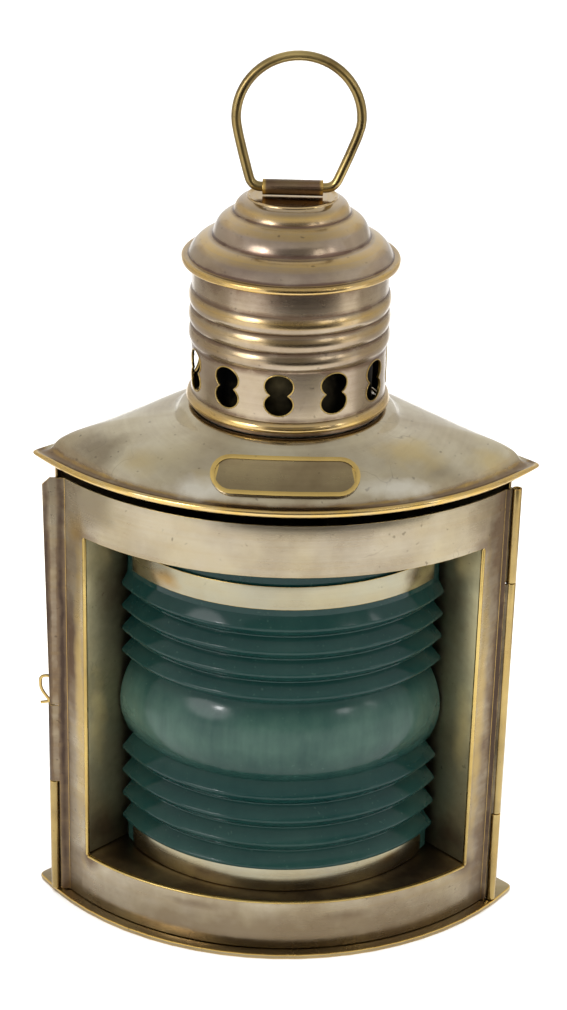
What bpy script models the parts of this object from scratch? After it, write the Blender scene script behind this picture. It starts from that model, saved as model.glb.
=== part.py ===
"""Starboard navigation lamp: an oil lamp in a sector-shaped brass case.

Units are metres. X points to the lamp's right as the lens faces the viewer, Y points to the
back corner and Z up. The origin is on the underside of the base plate, below the axis of the
burner, the chimney and the vent cap.
"""
import math

import bmesh
import bpy
from mathutils import Matrix, Vector

# Clearances and stock
GAP = 0.0003                    # between pieces that touch or are soldered together
SHEET = 0.0006                  # brass sheet
THIN_SHEET = 0.0004             # light sheet of the burner
CUT_OVERRUN = 0.002             # how far a cutter runs past what it cuts

# Plan of the base plate and the roof: two flat back walls at a right angle, a bowed front
PLAN_HALF_CHORD = 0.0715
PLAN_CHORD_Y = -0.0061
FRONT_BOW = 0.0404
PLAN_TIP_FILLET = 0.0016
PLAN_BACK_FILLET = 0.006
BASE_THICK = 0.0015
AIR_HOLE_RADIUS = 0.003
AIR_HOLE_MARGIN = 0.0035
AIR_HOLE_COUNT = 6

# Casing
WALL_INSET = 0.004
CASE_HEIGHT = 0.1379
FLANGE_BEND = 0.0015
BACK_BEND = 0.006
CURB_HEIGHT = 0.008
CURB_SETBACK = 0.0012

# Hinge and latch tubes
HINGE_INSET = 0.007
LATCH_INSET = 0.0058
TUBE_RADIUS = 0.0014
TUBE_BORE = 0.00085
HINGE_PIN_RADIUS = 0.00055
HINGE_LOWER_HEIGHT = 0.0294
HINGE_UPPER_HEIGHT = 0.0289
LATCH_TUBE_HEIGHT = 0.0367
LATCH_PIN_RADIUS = 0.0005
LATCH_PIN_DEPTH = 0.0165
LATCH_PIN_SHOW = 0.0345
LATCH_LOOP_REACH = 0.0036
LATCH_LOOP_HEIGHT = 0.0083
LATCH_LOOP_BEND = 0.0017

# Door
DOOR_INSET = 0.003
DOOR_FLOOR_GAP = 0.0004
DOOR_HEAD_GAP = 0.0039
FOLD_INSET = 0.0101
LEAF_STUB = 0.0013
STRIP_PAST_TUBE = 0.0009
STRIP_TAPER = 0.0011
STRIP_MID_HEIGHT = 0.0255
STRIP_CORNER_CLIP = 0.0015
LATCH_LIP_DEPTH = 0.0011
STILE_WIDTH = 0.006
SILL_RAIL = 0.0153
HEAD_RAIL = 0.0153
JAMB_FLANGE = 0.0034
JAMB_SHORTFALL = 0.0006
JAMB_ANGLE = math.radians(47)

# Lens and its bands
LENS_SETBACK = 0.0044
LENS_BULGE_RADIUS = 0.0526
LENS_CREST_DEPTH = 0.0006
LENS_RIM_DEPTH = 0.0025
LENS_VALLEY_DEPTH = 0.0039
LENS_GLASS_DEPTH = 0.0071
LENS_END_GAP = 0.0005
RIB_COUNT = 4
RIB_BELOW_SHARE = 0.52
RIB_CREST_FLAT = 0.0008
BULGE_HALF_HEIGHT = 0.0123
LENS_FOOT = 0.0081
LENS_HEAD = 0.0182
BAND_END_INSET = math.radians(5.4)
LOWER_BAND_HEIGHT = 0.0072
UPPER_BAND_HEIGHT = 0.007
UPPER_BAND_DROP = 0.0054

# Roof
RIM_DROP = 0.0014
BEAD_RISE = 0.0008
BEAD_ROUND = 0.0006
BEAD_WIDTH = 0.0017
TIP_PRESS = 0.48
TIP_TURNS = [math.radians(turn) for turn in (77.5, 84, 98, 115)]
FLANGE_WIDTH = 0.0038
FLANGE_RISE = 0.0002
DOME_RISE = 0.012
SIDE_DROP = 0.0013
STEP_FLARE = 0.0024
STEP_LAND = 0.0017
STEP_HEIGHT = 0.0018
THROAT_LIP = 0.0011
SHOULDER_FILLET = 0.0025

# Name plate on the front slope of the roof
PLATE_LENGTH = 0.0404
PLATE_HEIGHT = 0.0113
PLATE_THICK = 0.0008
PLATE_RIM_RISE = 0.0006
PLATE_RIM_WIDTH = 0.0012
PLATE_BOW_RADIUS = 0.062
PLATE_SMILE_RADIUS = 0.148
PLATE_CLEARANCE = 0.0005

# Chimney
CHIMNEY_RADIUS = 0.0271
CHIMNEY_BEAD_RISE = 0.0008
NECK_HEIGHT = 0.001
FOOT_RING_REACH = 0.0013
FOOT_RING_HEIGHT = 0.003
VENT_BAND_HEIGHT = 0.0143
BEAD_COUNT = 3
BEAD_PITCH = 0.0052
UPPER_BAND = 0.0091
VENT_COUNT = 11
VENT_PHASE = math.radians(-4.9)
VENT_HALF_WIDTH = 0.004
VENT_LOBE_HALF_HEIGHT = 0.0033
VENT_LOBE_SPACING = 0.0052
VENT_SILL = 0.0018

# Vent cap
CAP_OVERHANG = 0.0013
CAP_RIM_REACH = 0.0016
CAP_RIM_HEIGHT = 0.002
CAP_TIER_2_RADIUS = 0.0219
CAP_TIER_3_RADIUS = 0.0163
CAP_TOP_RADIUS = 0.0124
CAP_TIER_1_RISE = 0.0054
CAP_TIER_2_RISE = 0.0066
CAP_TIER_3_RISE = 0.0042
CAP_BULGE_1 = 0.0011
CAP_BULGE_2 = 0.0012
CAP_BULGE_3 = 0.0008
CAP_CREASE = 0.0003
CAP_RIDGE = 0.0005

# Handle
BARREL_HALF_LENGTH = 0.0082
BARREL_RADIUS = 0.00215
BARREL_BORE = 0.00175
WIRE_RADIUS = 0.00145
BOW_RADIUS = 0.0169
BOW_RISE = 0.0193
BOW_LEAN = 0.0012
BOW_LEG_ANGLE = math.radians(12)
LEG_FOOT_X = 0.0112
LEG_FOOT_BEND = 0.0028

# Oil fount
FOUNT_TO_LENS = 0.0054
FOUNT_WALL_HEIGHT = 0.018
FOUNT_SHOULDER_RISE = 0.0062
FOUNT_COLLAR_RADIUS = 0.0095
FOUNT_COLLAR_HEIGHT = 0.0045
FOUNT_FOOT_ROUND = 0.0008
FOUNT_RING_HEIGHT = 0.004

# Burner
DRUM_RADIUS = 0.0135
DRUM_HEIGHT = 0.0085
DRUM_PLUG_DEPTH = 0.004
WICK_HALF_WIDTH = 0.0062
WICK_HALF_THICK = 0.0009
WICK_ABOVE_TUBE = 0.0018
WICK_TUBE_DROP = 0.0075
WICK_TUBE_RISE = 0.0115
WICK_TAIL = 0.0135
SPUR_RADIUS = 0.0032
SPUR_WIDTH = 0.0016
SPUR_OFFSET = 0.0032
SPUR_TEETH = 12
SPINDLE_RADIUS = 0.0008
SPINDLE_LENGTH = 0.0305
SPINDLE_TAIL = 0.0065
KNOB_RADIUS = 0.0065
KNOB_WIDTH = 0.003
KNOB_LOBES = 18
GALLERY_RADIUS = 0.0172
GALLERY_HEIGHT = 0.002
GALLERY_LIP = 0.0022
PRONG_COUNT = 4
PRONG_WIDTH = 0.005
PRONG_HEIGHT = 0.009
DEFLECTOR_RISE = 0.0108
DEFLECTOR_FOOT = 0.0016
GLASS_TO_DEFLECTOR = 0.0033
GLASS_TO_PRONGS = 0.0017
GLASS_BELLY_RADIUS = 0.0192
GLASS_TOP_RADIUS = 0.0122
GLASS_HEIGHT = 0.085
GLASS_BELLY_HEIGHT = 0.02
GLASS_NECK_HEIGHT = 0.05
GLASS_WALL = 0.0013

# Places that follow from the sizes above
PLATE_FRONT_RADIUS = (PLAN_HALF_CHORD ** 2 + FRONT_BOW ** 2) / (2 * FRONT_BOW)
FRONT_CENTRE_Y = PLAN_CHORD_Y - FRONT_BOW + PLATE_FRONT_RADIUS
PLAN_BACK_Y = PLAN_CHORD_Y + PLAN_HALF_CHORD
FLOOR_Z = BASE_THICK + GAP
DOOR_RADIUS = PLATE_FRONT_RADIUS - DOOR_INSET
HINGE_X = PLAN_HALF_CHORD - HINGE_INSET
LATCH_X = -PLAN_HALF_CHORD + LATCH_INSET
FOLD_X = PLAN_HALF_CHORD - FOLD_INSET
LEAF_Y = FRONT_CENTRE_Y - math.sqrt(DOOR_RADIUS ** 2 - FOLD_X ** 2)
HINGE_Y = LEAF_Y + TUBE_RADIUS
FLANGE_X = HINGE_X - TUBE_RADIUS - GAP
LATCH_FLANGE_X = LATCH_X + TUBE_RADIUS + GAP
FLANGE_FRONT_Y = LEAF_Y + SHEET + GAP
WALL_SUM = PLAN_BACK_Y - WALL_INSET * math.sqrt(2)
DOOR_Z = BASE_THICK + DOOR_FLOOR_GAP
DOOR_TOP_Z = FLOOR_Z + CASE_HEIGHT - DOOR_HEAD_GAP
HINGE_DOOR_Z = FLOOR_Z + HINGE_LOWER_HEIGHT + GAP
HINGE_UPPER_Z = DOOR_TOP_Z - HINGE_UPPER_HEIGHT
WINDOW_HALF_WIDTH = FOLD_X - STILE_WIDTH
WINDOW_Z = DOOR_Z + SILL_RAIL
WINDOW_TOP_Z = DOOR_TOP_Z - HEAD_RAIL
LENS_CREST_RADIUS = LENS_BULGE_RADIUS - LENS_CREST_DEPTH
LENS_RIM_RADIUS = LENS_BULGE_RADIUS - LENS_RIM_DEPTH
LENS_VALLEY_RADIUS = LENS_BULGE_RADIUS - LENS_VALLEY_DEPTH
LENS_INNER_RADIUS = LENS_BULGE_RADIUS - LENS_GLASS_DEPTH
LENS_CENTRE_Y = FRONT_CENTRE_Y - DOOR_RADIUS + LENS_SETBACK + LENS_BULGE_RADIUS
LENS_Z = WINDOW_Z + GAP
LENS_TOP_Z = WINDOW_TOP_Z - GAP
RIB_SPACE = LENS_TOP_Z - LENS_Z - LENS_FOOT - LENS_HEAD - 2 * BULGE_HALF_HEIGHT
RIB_PITCH_SUM = RIB_SPACE / (RIB_COUNT - 0.5)
RIB_PITCH_BELOW = RIB_PITCH_SUM * RIB_BELOW_SHARE
RIB_PITCH_ABOVE = RIB_PITCH_SUM - RIB_PITCH_BELOW
# The jambs lean in from the window's sides and the lens's ends stop against them
JAMB_BACK_RADIUS = DOOR_RADIUS - SHEET - GAP
JAMB_CORNER_Y = FRONT_CENTRE_Y - math.sqrt(JAMB_BACK_RADIUS ** 2 - WINDOW_HALF_WIDTH ** 2)
JAMB_RUN = (-math.cos(JAMB_ANGLE), math.sin(JAMB_ANGLE))


def jamb_reach(radius):
    """How far along a jamb, from the window's side, it comes this close to the lens's centre."""
    away = (-WINDOW_HALF_WIDTH, LENS_CENTRE_Y - JAMB_CORNER_Y)
    along = away[0] * JAMB_RUN[0] + away[1] * JAMB_RUN[1]
    beside = away[0] * JAMB_RUN[1] - away[1] * JAMB_RUN[0]
    return along - math.sqrt(radius ** 2 - beside ** 2)


JAMB_DEPTH = jamb_reach(LENS_INNER_RADIUS + JAMB_SHORTFALL)
JAMB_MEETS_X = WINDOW_HALF_WIDTH + JAMB_RUN[0] * jamb_reach(LENS_BULGE_RADIUS)
LENS_HALF_ANGLE = math.asin(JAMB_MEETS_X / LENS_BULGE_RADIUS) - LENS_END_GAP / LENS_BULGE_RADIUS
BAND_HALF_ANGLE = LENS_HALF_ANGLE - BAND_END_INSET
FOUNT_RADIUS = LENS_INNER_RADIUS - LENS_CENTRE_Y - FOUNT_TO_LENS
AIR_HOLE_CIRCLE = FOUNT_RADIUS + GAP + SHEET + AIR_HOLE_MARGIN + AIR_HOLE_RADIUS
LATCH_TUBE_TOP_Z = FLOOR_Z + LATCH_TUBE_HEIGHT
STRIP_WIDE_Z = LATCH_TUBE_TOP_Z + GAP + STRIP_MID_HEIGHT
STRIP_EDGE_X = LATCH_X - STRIP_PAST_TUBE
FLANGE_TOP_Z = FLOOR_Z + CASE_HEIGHT + GAP + SHEET
RIM_Z = FLANGE_TOP_Z - RIM_DROP
DOME_Z = FLANGE_TOP_Z + FLANGE_RISE
THROAT_RADIUS = CHIMNEY_RADIUS - THROAT_LIP
STEP_TOP_RADIUS = CHIMNEY_RADIUS + STEP_LAND
STEP_RADIUS = STEP_TOP_RADIUS + STEP_FLARE
FOOT_RING_RADIUS = CHIMNEY_RADIUS + FOOT_RING_REACH
CAP_TIER_1_RADIUS = CHIMNEY_RADIUS + CAP_OVERHANG
CAP_RIM_RADIUS = CAP_TIER_1_RADIUS + CAP_RIM_REACH
STEP_Z = DOME_Z + DOME_RISE
LAND_Z = STEP_Z + STEP_HEIGHT
CHIMNEY_Z = LAND_Z + GAP
FOOT_RING_Z = CHIMNEY_Z + NECK_HEIGHT
VENT_BAND_Z = FOOT_RING_Z + FOOT_RING_HEIGHT
BEADS_Z = VENT_BAND_Z + VENT_BAND_HEIGHT
CHIMNEY_TOP_Z = BEADS_Z + BEAD_COUNT * BEAD_PITCH + UPPER_BAND
CAP_TIER_1_Z = CHIMNEY_TOP_Z
CAP_TIER_2_Z = CAP_TIER_1_Z + CAP_TIER_1_RISE
CAP_TIER_3_Z = CAP_TIER_2_Z + CAP_TIER_2_RISE
CAP_TOP_Z = CAP_TIER_3_Z + CAP_TIER_3_RISE
BARREL_Z = CAP_TOP_Z + GAP + BARREL_RADIUS
FOUNT_SEAM_Z = FLOOR_Z + FOUNT_WALL_HEIGHT
COLLAR_Z = FOUNT_SEAM_Z + GAP + FOUNT_SHOULDER_RISE
COLLAR_TOP_Z = COLLAR_Z + FOUNT_COLLAR_HEIGHT
DRUM_Z = COLLAR_TOP_Z + GAP
DRUM_TOP_Z = DRUM_Z + DRUM_HEIGHT
GALLERY_Z = DRUM_TOP_Z + GAP
GALLERY_TOP_Z = GALLERY_Z + GALLERY_HEIGHT
GLASS_FOOT_RADIUS = GALLERY_RADIUS - GLASS_TO_PRONGS
DEFLECTOR_RADIUS = GLASS_FOOT_RADIUS - GLASS_TO_DEFLECTOR
WICK_TUBE_X = WICK_HALF_WIDTH + GAP + THIN_SHEET
WICK_TUBE_Y = WICK_HALF_THICK + GAP + THIN_SHEET
WICK_TUBE_TOP_Z = DRUM_TOP_Z + WICK_TUBE_RISE
SPINDLE_Y = -(WICK_HALF_THICK + GAP + SPUR_RADIUS)
SPINDLE_Z = DRUM_Z + DRUM_HEIGHT / 2


def new_collection(name):
    """Add a collection to the scene."""
    made = bpy.data.collections.new(name)
    bpy.context.scene.collection.children.link(made)
    return made


for leftover in list(bpy.data.objects):
    bpy.data.objects.remove(leftover, do_unlink=True)
LAMP = new_collection("starboard_lamp")
CUTTERS = new_collection("cutters")


def material(name, colour, metallic, roughness, alpha=1.0):
    """A plain Principled material in the piece's own colour."""
    made = bpy.data.materials.new(name)
    made.use_nodes = True
    shader = made.node_tree.nodes["Principled BSDF"]
    shader.inputs["Base Color"].default_value = (*colour, 1.0)
    shader.inputs["Metallic"].default_value = metallic
    shader.inputs["Roughness"].default_value = roughness
    shader.inputs["Alpha"].default_value = alpha
    made.diffuse_color = (*colour, alpha)
    return made


AGED_BRASS = (0.33, 0.28, 0.20)
BRIGHT_BRASS = (0.62, 0.47, 0.18)
DARK_BRASS = (0.20, 0.17, 0.13)
GREEN_GLASS = (0.02, 0.16, 0.13)
CLEAR_GLASS = (0.85, 0.90, 0.88)
COTTON = (0.80, 0.76, 0.66)


def brass(name, colour=AGED_BRASS):
    """Brushed brass, more or less darkened with age."""
    return material(name, colour, 1.0, 0.35)


def add_mesh_object(name, mesh, shade, collection=None):
    """Link a mesh as a named object of the lamp, with smooth round faces."""
    made = bpy.data.objects.new(name, mesh)
    (collection or LAMP).objects.link(made)
    if shade:
        mesh.materials.append(shade)
    mesh.shade_smooth()
    mesh.set_sharp_from_angle(angle=math.radians(35))
    return made


def mesh_from(bm, name):
    """Turn a finished bmesh into a mesh whose faces point out."""
    bmesh.ops.recalc_face_normals(bm, faces=bm.faces)
    mesh = bpy.data.meshes.new(name)
    bm.to_mesh(mesh)
    bm.free()
    return mesh


def plate_mesh(name, outlines, bottom, top):
    """A flat plate between two heights from one or more closed outlines, holes included."""
    curve = bpy.data.curves.new(name, "CURVE")
    curve.dimensions = "2D"
    curve.fill_mode = "BOTH"
    curve.extrude = (top - bottom) / 2
    for outline in outlines:
        spline = curve.splines.new("POLY")
        spline.points.add(len(outline) - 1)
        for point, (x, y) in zip(spline.points, outline):
            point.co = (x, y, 0, 1)
        spline.use_cyclic_u = True
    guide = bpy.data.objects.new(name, curve)
    bpy.context.scene.collection.objects.link(guide)
    depsgraph = bpy.context.evaluated_depsgraph_get()
    mesh = bpy.data.meshes.new_from_object(guide.evaluated_get(depsgraph))
    bpy.data.objects.remove(guide)
    bm = bmesh.new()
    bm.from_mesh(mesh)
    bmesh.ops.remove_doubles(bm, verts=bm.verts, dist=SHEET / 100)
    bmesh.ops.translate(bm, verts=bm.verts, vec=(0, 0, (top + bottom) / 2))
    bpy.data.meshes.remove(mesh)
    return mesh_from(bm, name)


def arc(radius, start, end, steps, centre_y=0.0):
    """Points on an arc; an angle of zero faces the viewer and positive angles lie at +X."""
    angles = [start + (end - start) * i / steps for i in range(steps + 1)]
    return [(radius * math.sin(a), centre_y - radius * math.cos(a)) for a in angles]


def rounded(points, radii, steps=3, closed=False):
    """Replace each corner that has a radius by a short curve between its two sides."""
    made = []
    for i, (corner, radius) in enumerate(zip(points, radii)):
        if not radius or (not closed and i in (0, len(points) - 1)):
            made.append(corner)
            continue
        here = Vector(corner)
        before = here + (Vector(points[i - 1]) - here).normalized() * radius
        after = here + (Vector(points[(i + 1) % len(points)]) - here).normalized() * radius
        for k in range(steps + 1):
            t = k / steps
            made.append(tuple(before * (1 - t) ** 2 + here * 2 * t * (1 - t) + after * t ** 2))
    return made


def sheet_outline(path, thickness):
    """Closed outline of a bent sheet: the path is one face, the other lies to its right."""
    points = [Vector(point) for point in path]
    other = []
    for i, point in enumerate(points):
        normals = []
        for a, b in ((i - 1, i), (i, i + 1)):
            if a >= 0 and b < len(points):
                run = (points[b] - points[a]).normalized()
                normals.append(Vector((run.y, -run.x)))
        middle = sum(normals, Vector((0, 0))).normalized()
        other.append(point + middle * (thickness / middle.dot(normals[0])))
    return [tuple(point) for point in points + other[::-1]]


def bent_sheet(name, path, bottom, top, shade, thickness=SHEET):
    """A sheet bent to a path in plan, standing between two heights."""
    return add_mesh_object(name, plate_mesh(name, [sheet_outline(path, thickness)], bottom, top), shade)


def turned(name, profile, shade, steps, closed=True, collection=None):
    """A turned piece: a profile of radii and heights swept round the Z axis."""
    bm = bmesh.new()
    verts = [bm.verts.new((radius, 0, height)) for radius, height in profile]
    pairs = list(zip(verts, verts[1:])) + ([(verts[-1], verts[0])] if closed else [])
    for pair in pairs:
        bm.edges.new(pair)
    mesh = bpy.data.meshes.new(name)
    bm.to_mesh(mesh)
    bm.free()
    made = add_mesh_object(name, mesh, shade, collection)
    screw = made.modifiers.new("turn", "SCREW")
    screw.steps = steps
    screw.render_steps = steps
    screw.use_merge_vertices = True
    screw.merge_threshold = 0.00001
    return made


def cylinder_mesh(name, radius, length, matrix, segments=20):
    """A round bar along the Z axis of a matrix, centred on its origin."""
    bm = bmesh.new()
    bmesh.ops.create_cone(bm, cap_ends=True, segments=segments, radius1=radius, radius2=radius,
                          depth=length, matrix=matrix)
    return mesh_from(bm, name)


def boxes_mesh(name, boxes):
    """Boxes given by their lowest and highest corners."""
    bm = bmesh.new()
    for low, high in boxes:
        low, high = Vector(low), Vector(high)
        size = high - low
        matrix = Matrix.Translation((low + high) / 2) @ Matrix.Diagonal((*size, 1))
        bmesh.ops.create_cube(bm, size=1, matrix=matrix)
    return mesh_from(bm, name)


def cutter(name, mesh):
    """An object that only serves a Boolean."""
    made = add_mesh_object(name, mesh, None, CUTTERS)
    made.hide_render = True
    made.display_type = "WIRE"
    return made


def combine(target, tool, operation="DIFFERENCE"):
    """Cut, join or keep a piece with another."""
    step = target.modifiers.new(tool.name, "BOOLEAN")
    step.operation = operation
    step.object = tool
    step.solver = "EXACT"
    return target


def tube(name, x, bottom, top, outer, bore, shade, steps=20):
    """A plain tube standing on a hinge or latch axis."""
    profile = [(outer, top), (outer, bottom), (bore, bottom), (bore, top)]
    made = turned(name, profile, shade, steps)
    made.location = (x, HINGE_Y, 0)
    return made


def plan_outline(inset, tip_fillet, back_fillet, arc_steps=22, wall_steps=6):
    """The sector plan, moved inwards by an inset, with its three corners rounded."""
    radius = PLATE_FRONT_RADIUS - inset
    wall_sum = PLAN_BACK_Y - inset * math.sqrt(2)
    # The tip is where the front arc meets the wall: x + y = wall_sum
    offset = wall_sum - FRONT_CENTRE_Y
    tip_x = (offset + math.sqrt(2 * radius ** 2 - offset ** 2)) / 2
    tip_y = wall_sum - tip_x
    tip_angle = math.atan2(tip_x, FRONT_CENTRE_Y - tip_y)
    reach = tip_angle - 1.5 * tip_fillet / radius
    front = arc(radius, -reach, reach, arc_steps, FRONT_CENTRE_Y)
    right_tip, left_tip, back = (tip_x, tip_y), (-tip_x, tip_y), (0, wall_sum)
    tip = rounded([front[-1], right_tip, back], [0, tip_fillet, 0])[1:-1]
    bend = rounded([right_tip, back, left_tip], [0, back_fillet, 0])[1:-1]
    start, end = Vector(tip[-1]), Vector(bend[0])
    side = tip + [tuple(start.lerp(end, i / wall_steps)) for i in range(1, wall_steps)]
    return front + side + bend + [(-x, y) for x, y in reversed(side)]


def base_plate():
    """Flat plate with a ring of air holes under the burner."""
    outline = plan_outline(0, PLAN_TIP_FILLET, PLAN_BACK_FILLET)
    holes = []
    for i in range(AIR_HOLE_COUNT):
        turn = 2 * math.pi * i / AIR_HOLE_COUNT
        centre = (AIR_HOLE_CIRCLE * math.sin(turn), AIR_HOLE_CIRCLE * math.cos(turn))
        holes.append([(centre[0] + AIR_HOLE_RADIUS * math.cos(a), centre[1] + AIR_HOLE_RADIUS * math.sin(a))
                      for a in (2 * math.pi * k / 12 for k in range(12))])
    mesh = plate_mesh("base_plate", [outline] + holes, 0, BASE_THICK)
    add_mesh_object("base_plate", mesh, brass("base_plate"))


def rear_casing():
    """One sheet bent round the back: two walls at a right angle and two short front flanges."""
    path = rounded([(FLANGE_X, FLANGE_FRONT_Y), (FLANGE_X, WALL_SUM - FLANGE_X), (0, WALL_SUM),
                    (LATCH_FLANGE_X, WALL_SUM + LATCH_FLANGE_X), (LATCH_FLANGE_X, FLANGE_FRONT_Y)],
                   [0, FLANGE_BEND, BACK_BEND, FLANGE_BEND, 0])
    bent_sheet("rear_casing", path[::-1], FLOOR_Z, FLOOR_Z + CASE_HEIGHT, brass("rear_casing"))


def base_curb():
    """Low rail behind the door's foot, from one casing flange to the other."""
    radius = DOOR_RADIUS - SHEET - CURB_SETBACK
    right = math.asin((FLANGE_X - SHEET - GAP) / (radius + SHEET))
    left = math.asin((LATCH_FLANGE_X + SHEET + GAP) / (radius + SHEET))
    path = arc(radius, right, left, 24, FRONT_CENTRE_Y)
    bent_sheet("base_curb", path[::-1], FLOOR_Z, FLOOR_Z + CURB_HEIGHT, brass("base_curb", DARK_BRASS))


def hinge():
    """Two casing tubes, the door's tube between them, and the rod through all three."""
    bright = brass("hinge_brass", BRIGHT_BRASS)
    tube("hinge_tube_lower", HINGE_X, FLOOR_Z, HINGE_DOOR_Z - GAP, TUBE_RADIUS, TUBE_BORE, bright)
    tube("door_hinge_tube", HINGE_X, HINGE_DOOR_Z, HINGE_UPPER_Z - GAP, TUBE_RADIUS, TUBE_BORE, bright)
    tube("hinge_tube_upper", HINGE_X, HINGE_UPPER_Z, DOOR_TOP_Z, TUBE_RADIUS, TUBE_BORE, bright)
    length = DOOR_TOP_Z - FLOOR_Z - 2 * GAP
    rod = cylinder_mesh("hinge_pin", HINGE_PIN_RADIUS, length, Matrix.Identity(4), 12)
    pin = add_mesh_object("hinge_pin", rod, brass("hinge_pin", DARK_BRASS))
    pin.location = (HINGE_X, HINGE_Y, (FLOOR_Z + DOOR_TOP_Z) / 2)


def wire_mesh(name, points, radius, resolution, cyclic=False):
    """A bent wire with filled ends."""
    curve = bpy.data.curves.new(name, "CURVE")
    curve.dimensions = "3D"
    curve.bevel_depth = radius
    curve.bevel_resolution = resolution
    curve.use_fill_caps = not cyclic
    spline = curve.splines.new("POLY")
    spline.points.add(len(points) - 1)
    for point, place in zip(spline.points, points):
        point.co = (*place, 1)
    spline.use_cyclic_u = cyclic
    guide = bpy.data.objects.new(name, curve)
    bpy.context.scene.collection.objects.link(guide)
    depsgraph = bpy.context.evaluated_depsgraph_get()
    mesh = bpy.data.meshes.new_from_object(guide.evaluated_get(depsgraph))
    bpy.data.objects.remove(guide)
    bm = bmesh.new()
    bm.from_mesh(mesh)
    bmesh.ops.remove_doubles(bm, verts=bm.verts, dist=radius / 50)
    bpy.data.meshes.remove(mesh)
    return mesh_from(bm, name)


def latch():
    """The casing's tube on the latch side, and the wire pin that drops into it."""
    tube("latch_tube", LATCH_X, FLOOR_Z, LATCH_TUBE_TOP_Z, TUBE_RADIUS, TUBE_BORE,
         brass("latch_tube", BRIGHT_BRASS))
    foot = LATCH_TUBE_TOP_Z - LATCH_PIN_DEPTH
    head = LATCH_TUBE_TOP_Z + LATCH_PIN_SHOW
    low = head - LATCH_LOOP_HEIGHT
    outer = LATCH_X - LATCH_LOOP_REACH
    bend = LATCH_LOOP_BEND
    corners = [(LATCH_X, foot), (LATCH_X, head), (outer, head), (outer, (head + low) / 2),
               (LATCH_X - bend / 2, low), (outer, low - LATCH_PIN_RADIUS)]
    flat = rounded(corners, [0, bend, bend, bend, bend / 2, 0], 4)
    wire = wire_mesh("latch_pin", [(x, HINGE_Y, z) for x, z in flat], LATCH_PIN_RADIUS, 1)
    add_mesh_object("latch_pin", wire, brass("latch_pin", BRIGHT_BRASS))


def door_panel():
    """Bowed sheet with a window, a hinge leaf at the right and a latch strip at the left."""
    fold = math.asin(FOLD_X / DOOR_RADIUS)
    bow = arc(DOOR_RADIUS, -fold, fold, 26, FRONT_CENTRE_Y)
    strip_x = STRIP_EDGE_X - STRIP_TAPER
    path = [(strip_x, LEAF_Y)] + bow + [(FLANGE_X, LEAF_Y)]
    door = bent_sheet("door_panel", path[::-1], DOOR_Z, DOOR_TOP_Z, brass("door_panel"))
    front, back = -PLATE_FRONT_RADIUS, HINGE_Y + LATCH_LIP_DEPTH
    window = boxes_mesh("window", [((-WINDOW_HALF_WIDTH, front, WINDOW_Z),
                                    (WINDOW_HALF_WIDTH, back, WINDOW_TOP_Z))])
    combine(door, cutter("window", window))
    stub_x = FOLD_X + LEAF_STUB
    past, low, high = FLANGE_X + CUT_OVERRUN, DOOR_Z - CUT_OVERRUN, DOOR_TOP_Z + CUT_OVERRUN
    beyond = strip_x - CUT_OVERRUN
    roll_z = LATCH_TUBE_TOP_Z + GAP
    reliefs = boxes_mesh("reliefs", [
        ((beyond, front, low), (LATCH_FLANGE_X, back, roll_z)),
        ((stub_x, front, low), (past, back, HINGE_DOOR_Z)),
        ((stub_x, front, HINGE_UPPER_Z - GAP), (past, back, high))])
    combine(door, cutter("reliefs", reliefs))
    middle = boxes_mesh("roll_place", [((beyond, front, LATCH_TUBE_TOP_Z),
                                        (LATCH_FLANGE_X, back, STRIP_WIDE_Z))])
    combine(door, cutter("roll_place", middle))
    # The strip gets wider towards the top
    height = DOOR_TOP_Z - STRIP_WIDE_Z
    slab = boxes_mesh("strip_taper", [((-past, front, low - high), (0, back, high - low))])
    wedge = cutter("strip_taper", slab)
    wedge.location = (STRIP_EDGE_X, 0, STRIP_WIDE_Z)
    wedge.rotation_euler = (0, -math.atan2(STRIP_TAPER, height), 0)
    combine(door, wedge)
    # The rolled edge hooks round the front and the outer side of the latch pin
    turns = [math.pi / 2 * i / 6 for i in range(7)]
    hook = [(LATCH_X - TUBE_RADIUS * math.sin(a), HINGE_Y - TUBE_RADIUS * math.cos(a)) for a in turns]
    hook = [(LATCH_FLANGE_X + SHEET, LEAF_Y)] + hook + [(hook[-1][0], HINGE_Y + LATCH_LIP_DEPTH)]
    roll = plate_mesh("latch_roll", [sheet_outline(hook, SHEET)], roll_z, STRIP_WIDE_Z - GAP)
    combine(door, cutter("latch_roll", roll), "UNION")
    clip = boxes_mesh("corner_clip", [((-STRIP_CORNER_CLIP, front, -STRIP_CORNER_CLIP),
                                       (STRIP_CORNER_CLIP, back, STRIP_CORNER_CLIP))])
    snip = cutter("corner_clip", clip)
    snip.location = (strip_x, 0, DOOR_TOP_Z)
    snip.rotation_euler = (0, math.radians(45), 0)
    combine(door, snip)


def jamb(name, side):
    """Splayed plate at one side of the window, with a flange behind the door sheet."""
    flange_x = WINDOW_HALF_WIDTH + JAMB_FLANGE
    flange_y = FRONT_CENTRE_Y - math.sqrt(JAMB_BACK_RADIUS ** 2 - flange_x ** 2)
    end_x = WINDOW_HALF_WIDTH + JAMB_DEPTH * JAMB_RUN[0]
    end_y = JAMB_CORNER_Y + JAMB_DEPTH * JAMB_RUN[1]
    path = [(flange_x, flange_y), (WINDOW_HALF_WIDTH, JAMB_CORNER_Y), (end_x, end_y)]
    if side < 0:
        path = [(-x, y) for x, y in reversed(path)]
    bent_sheet(name, path, LENS_Z, LENS_TOP_Z, brass(name))


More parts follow.
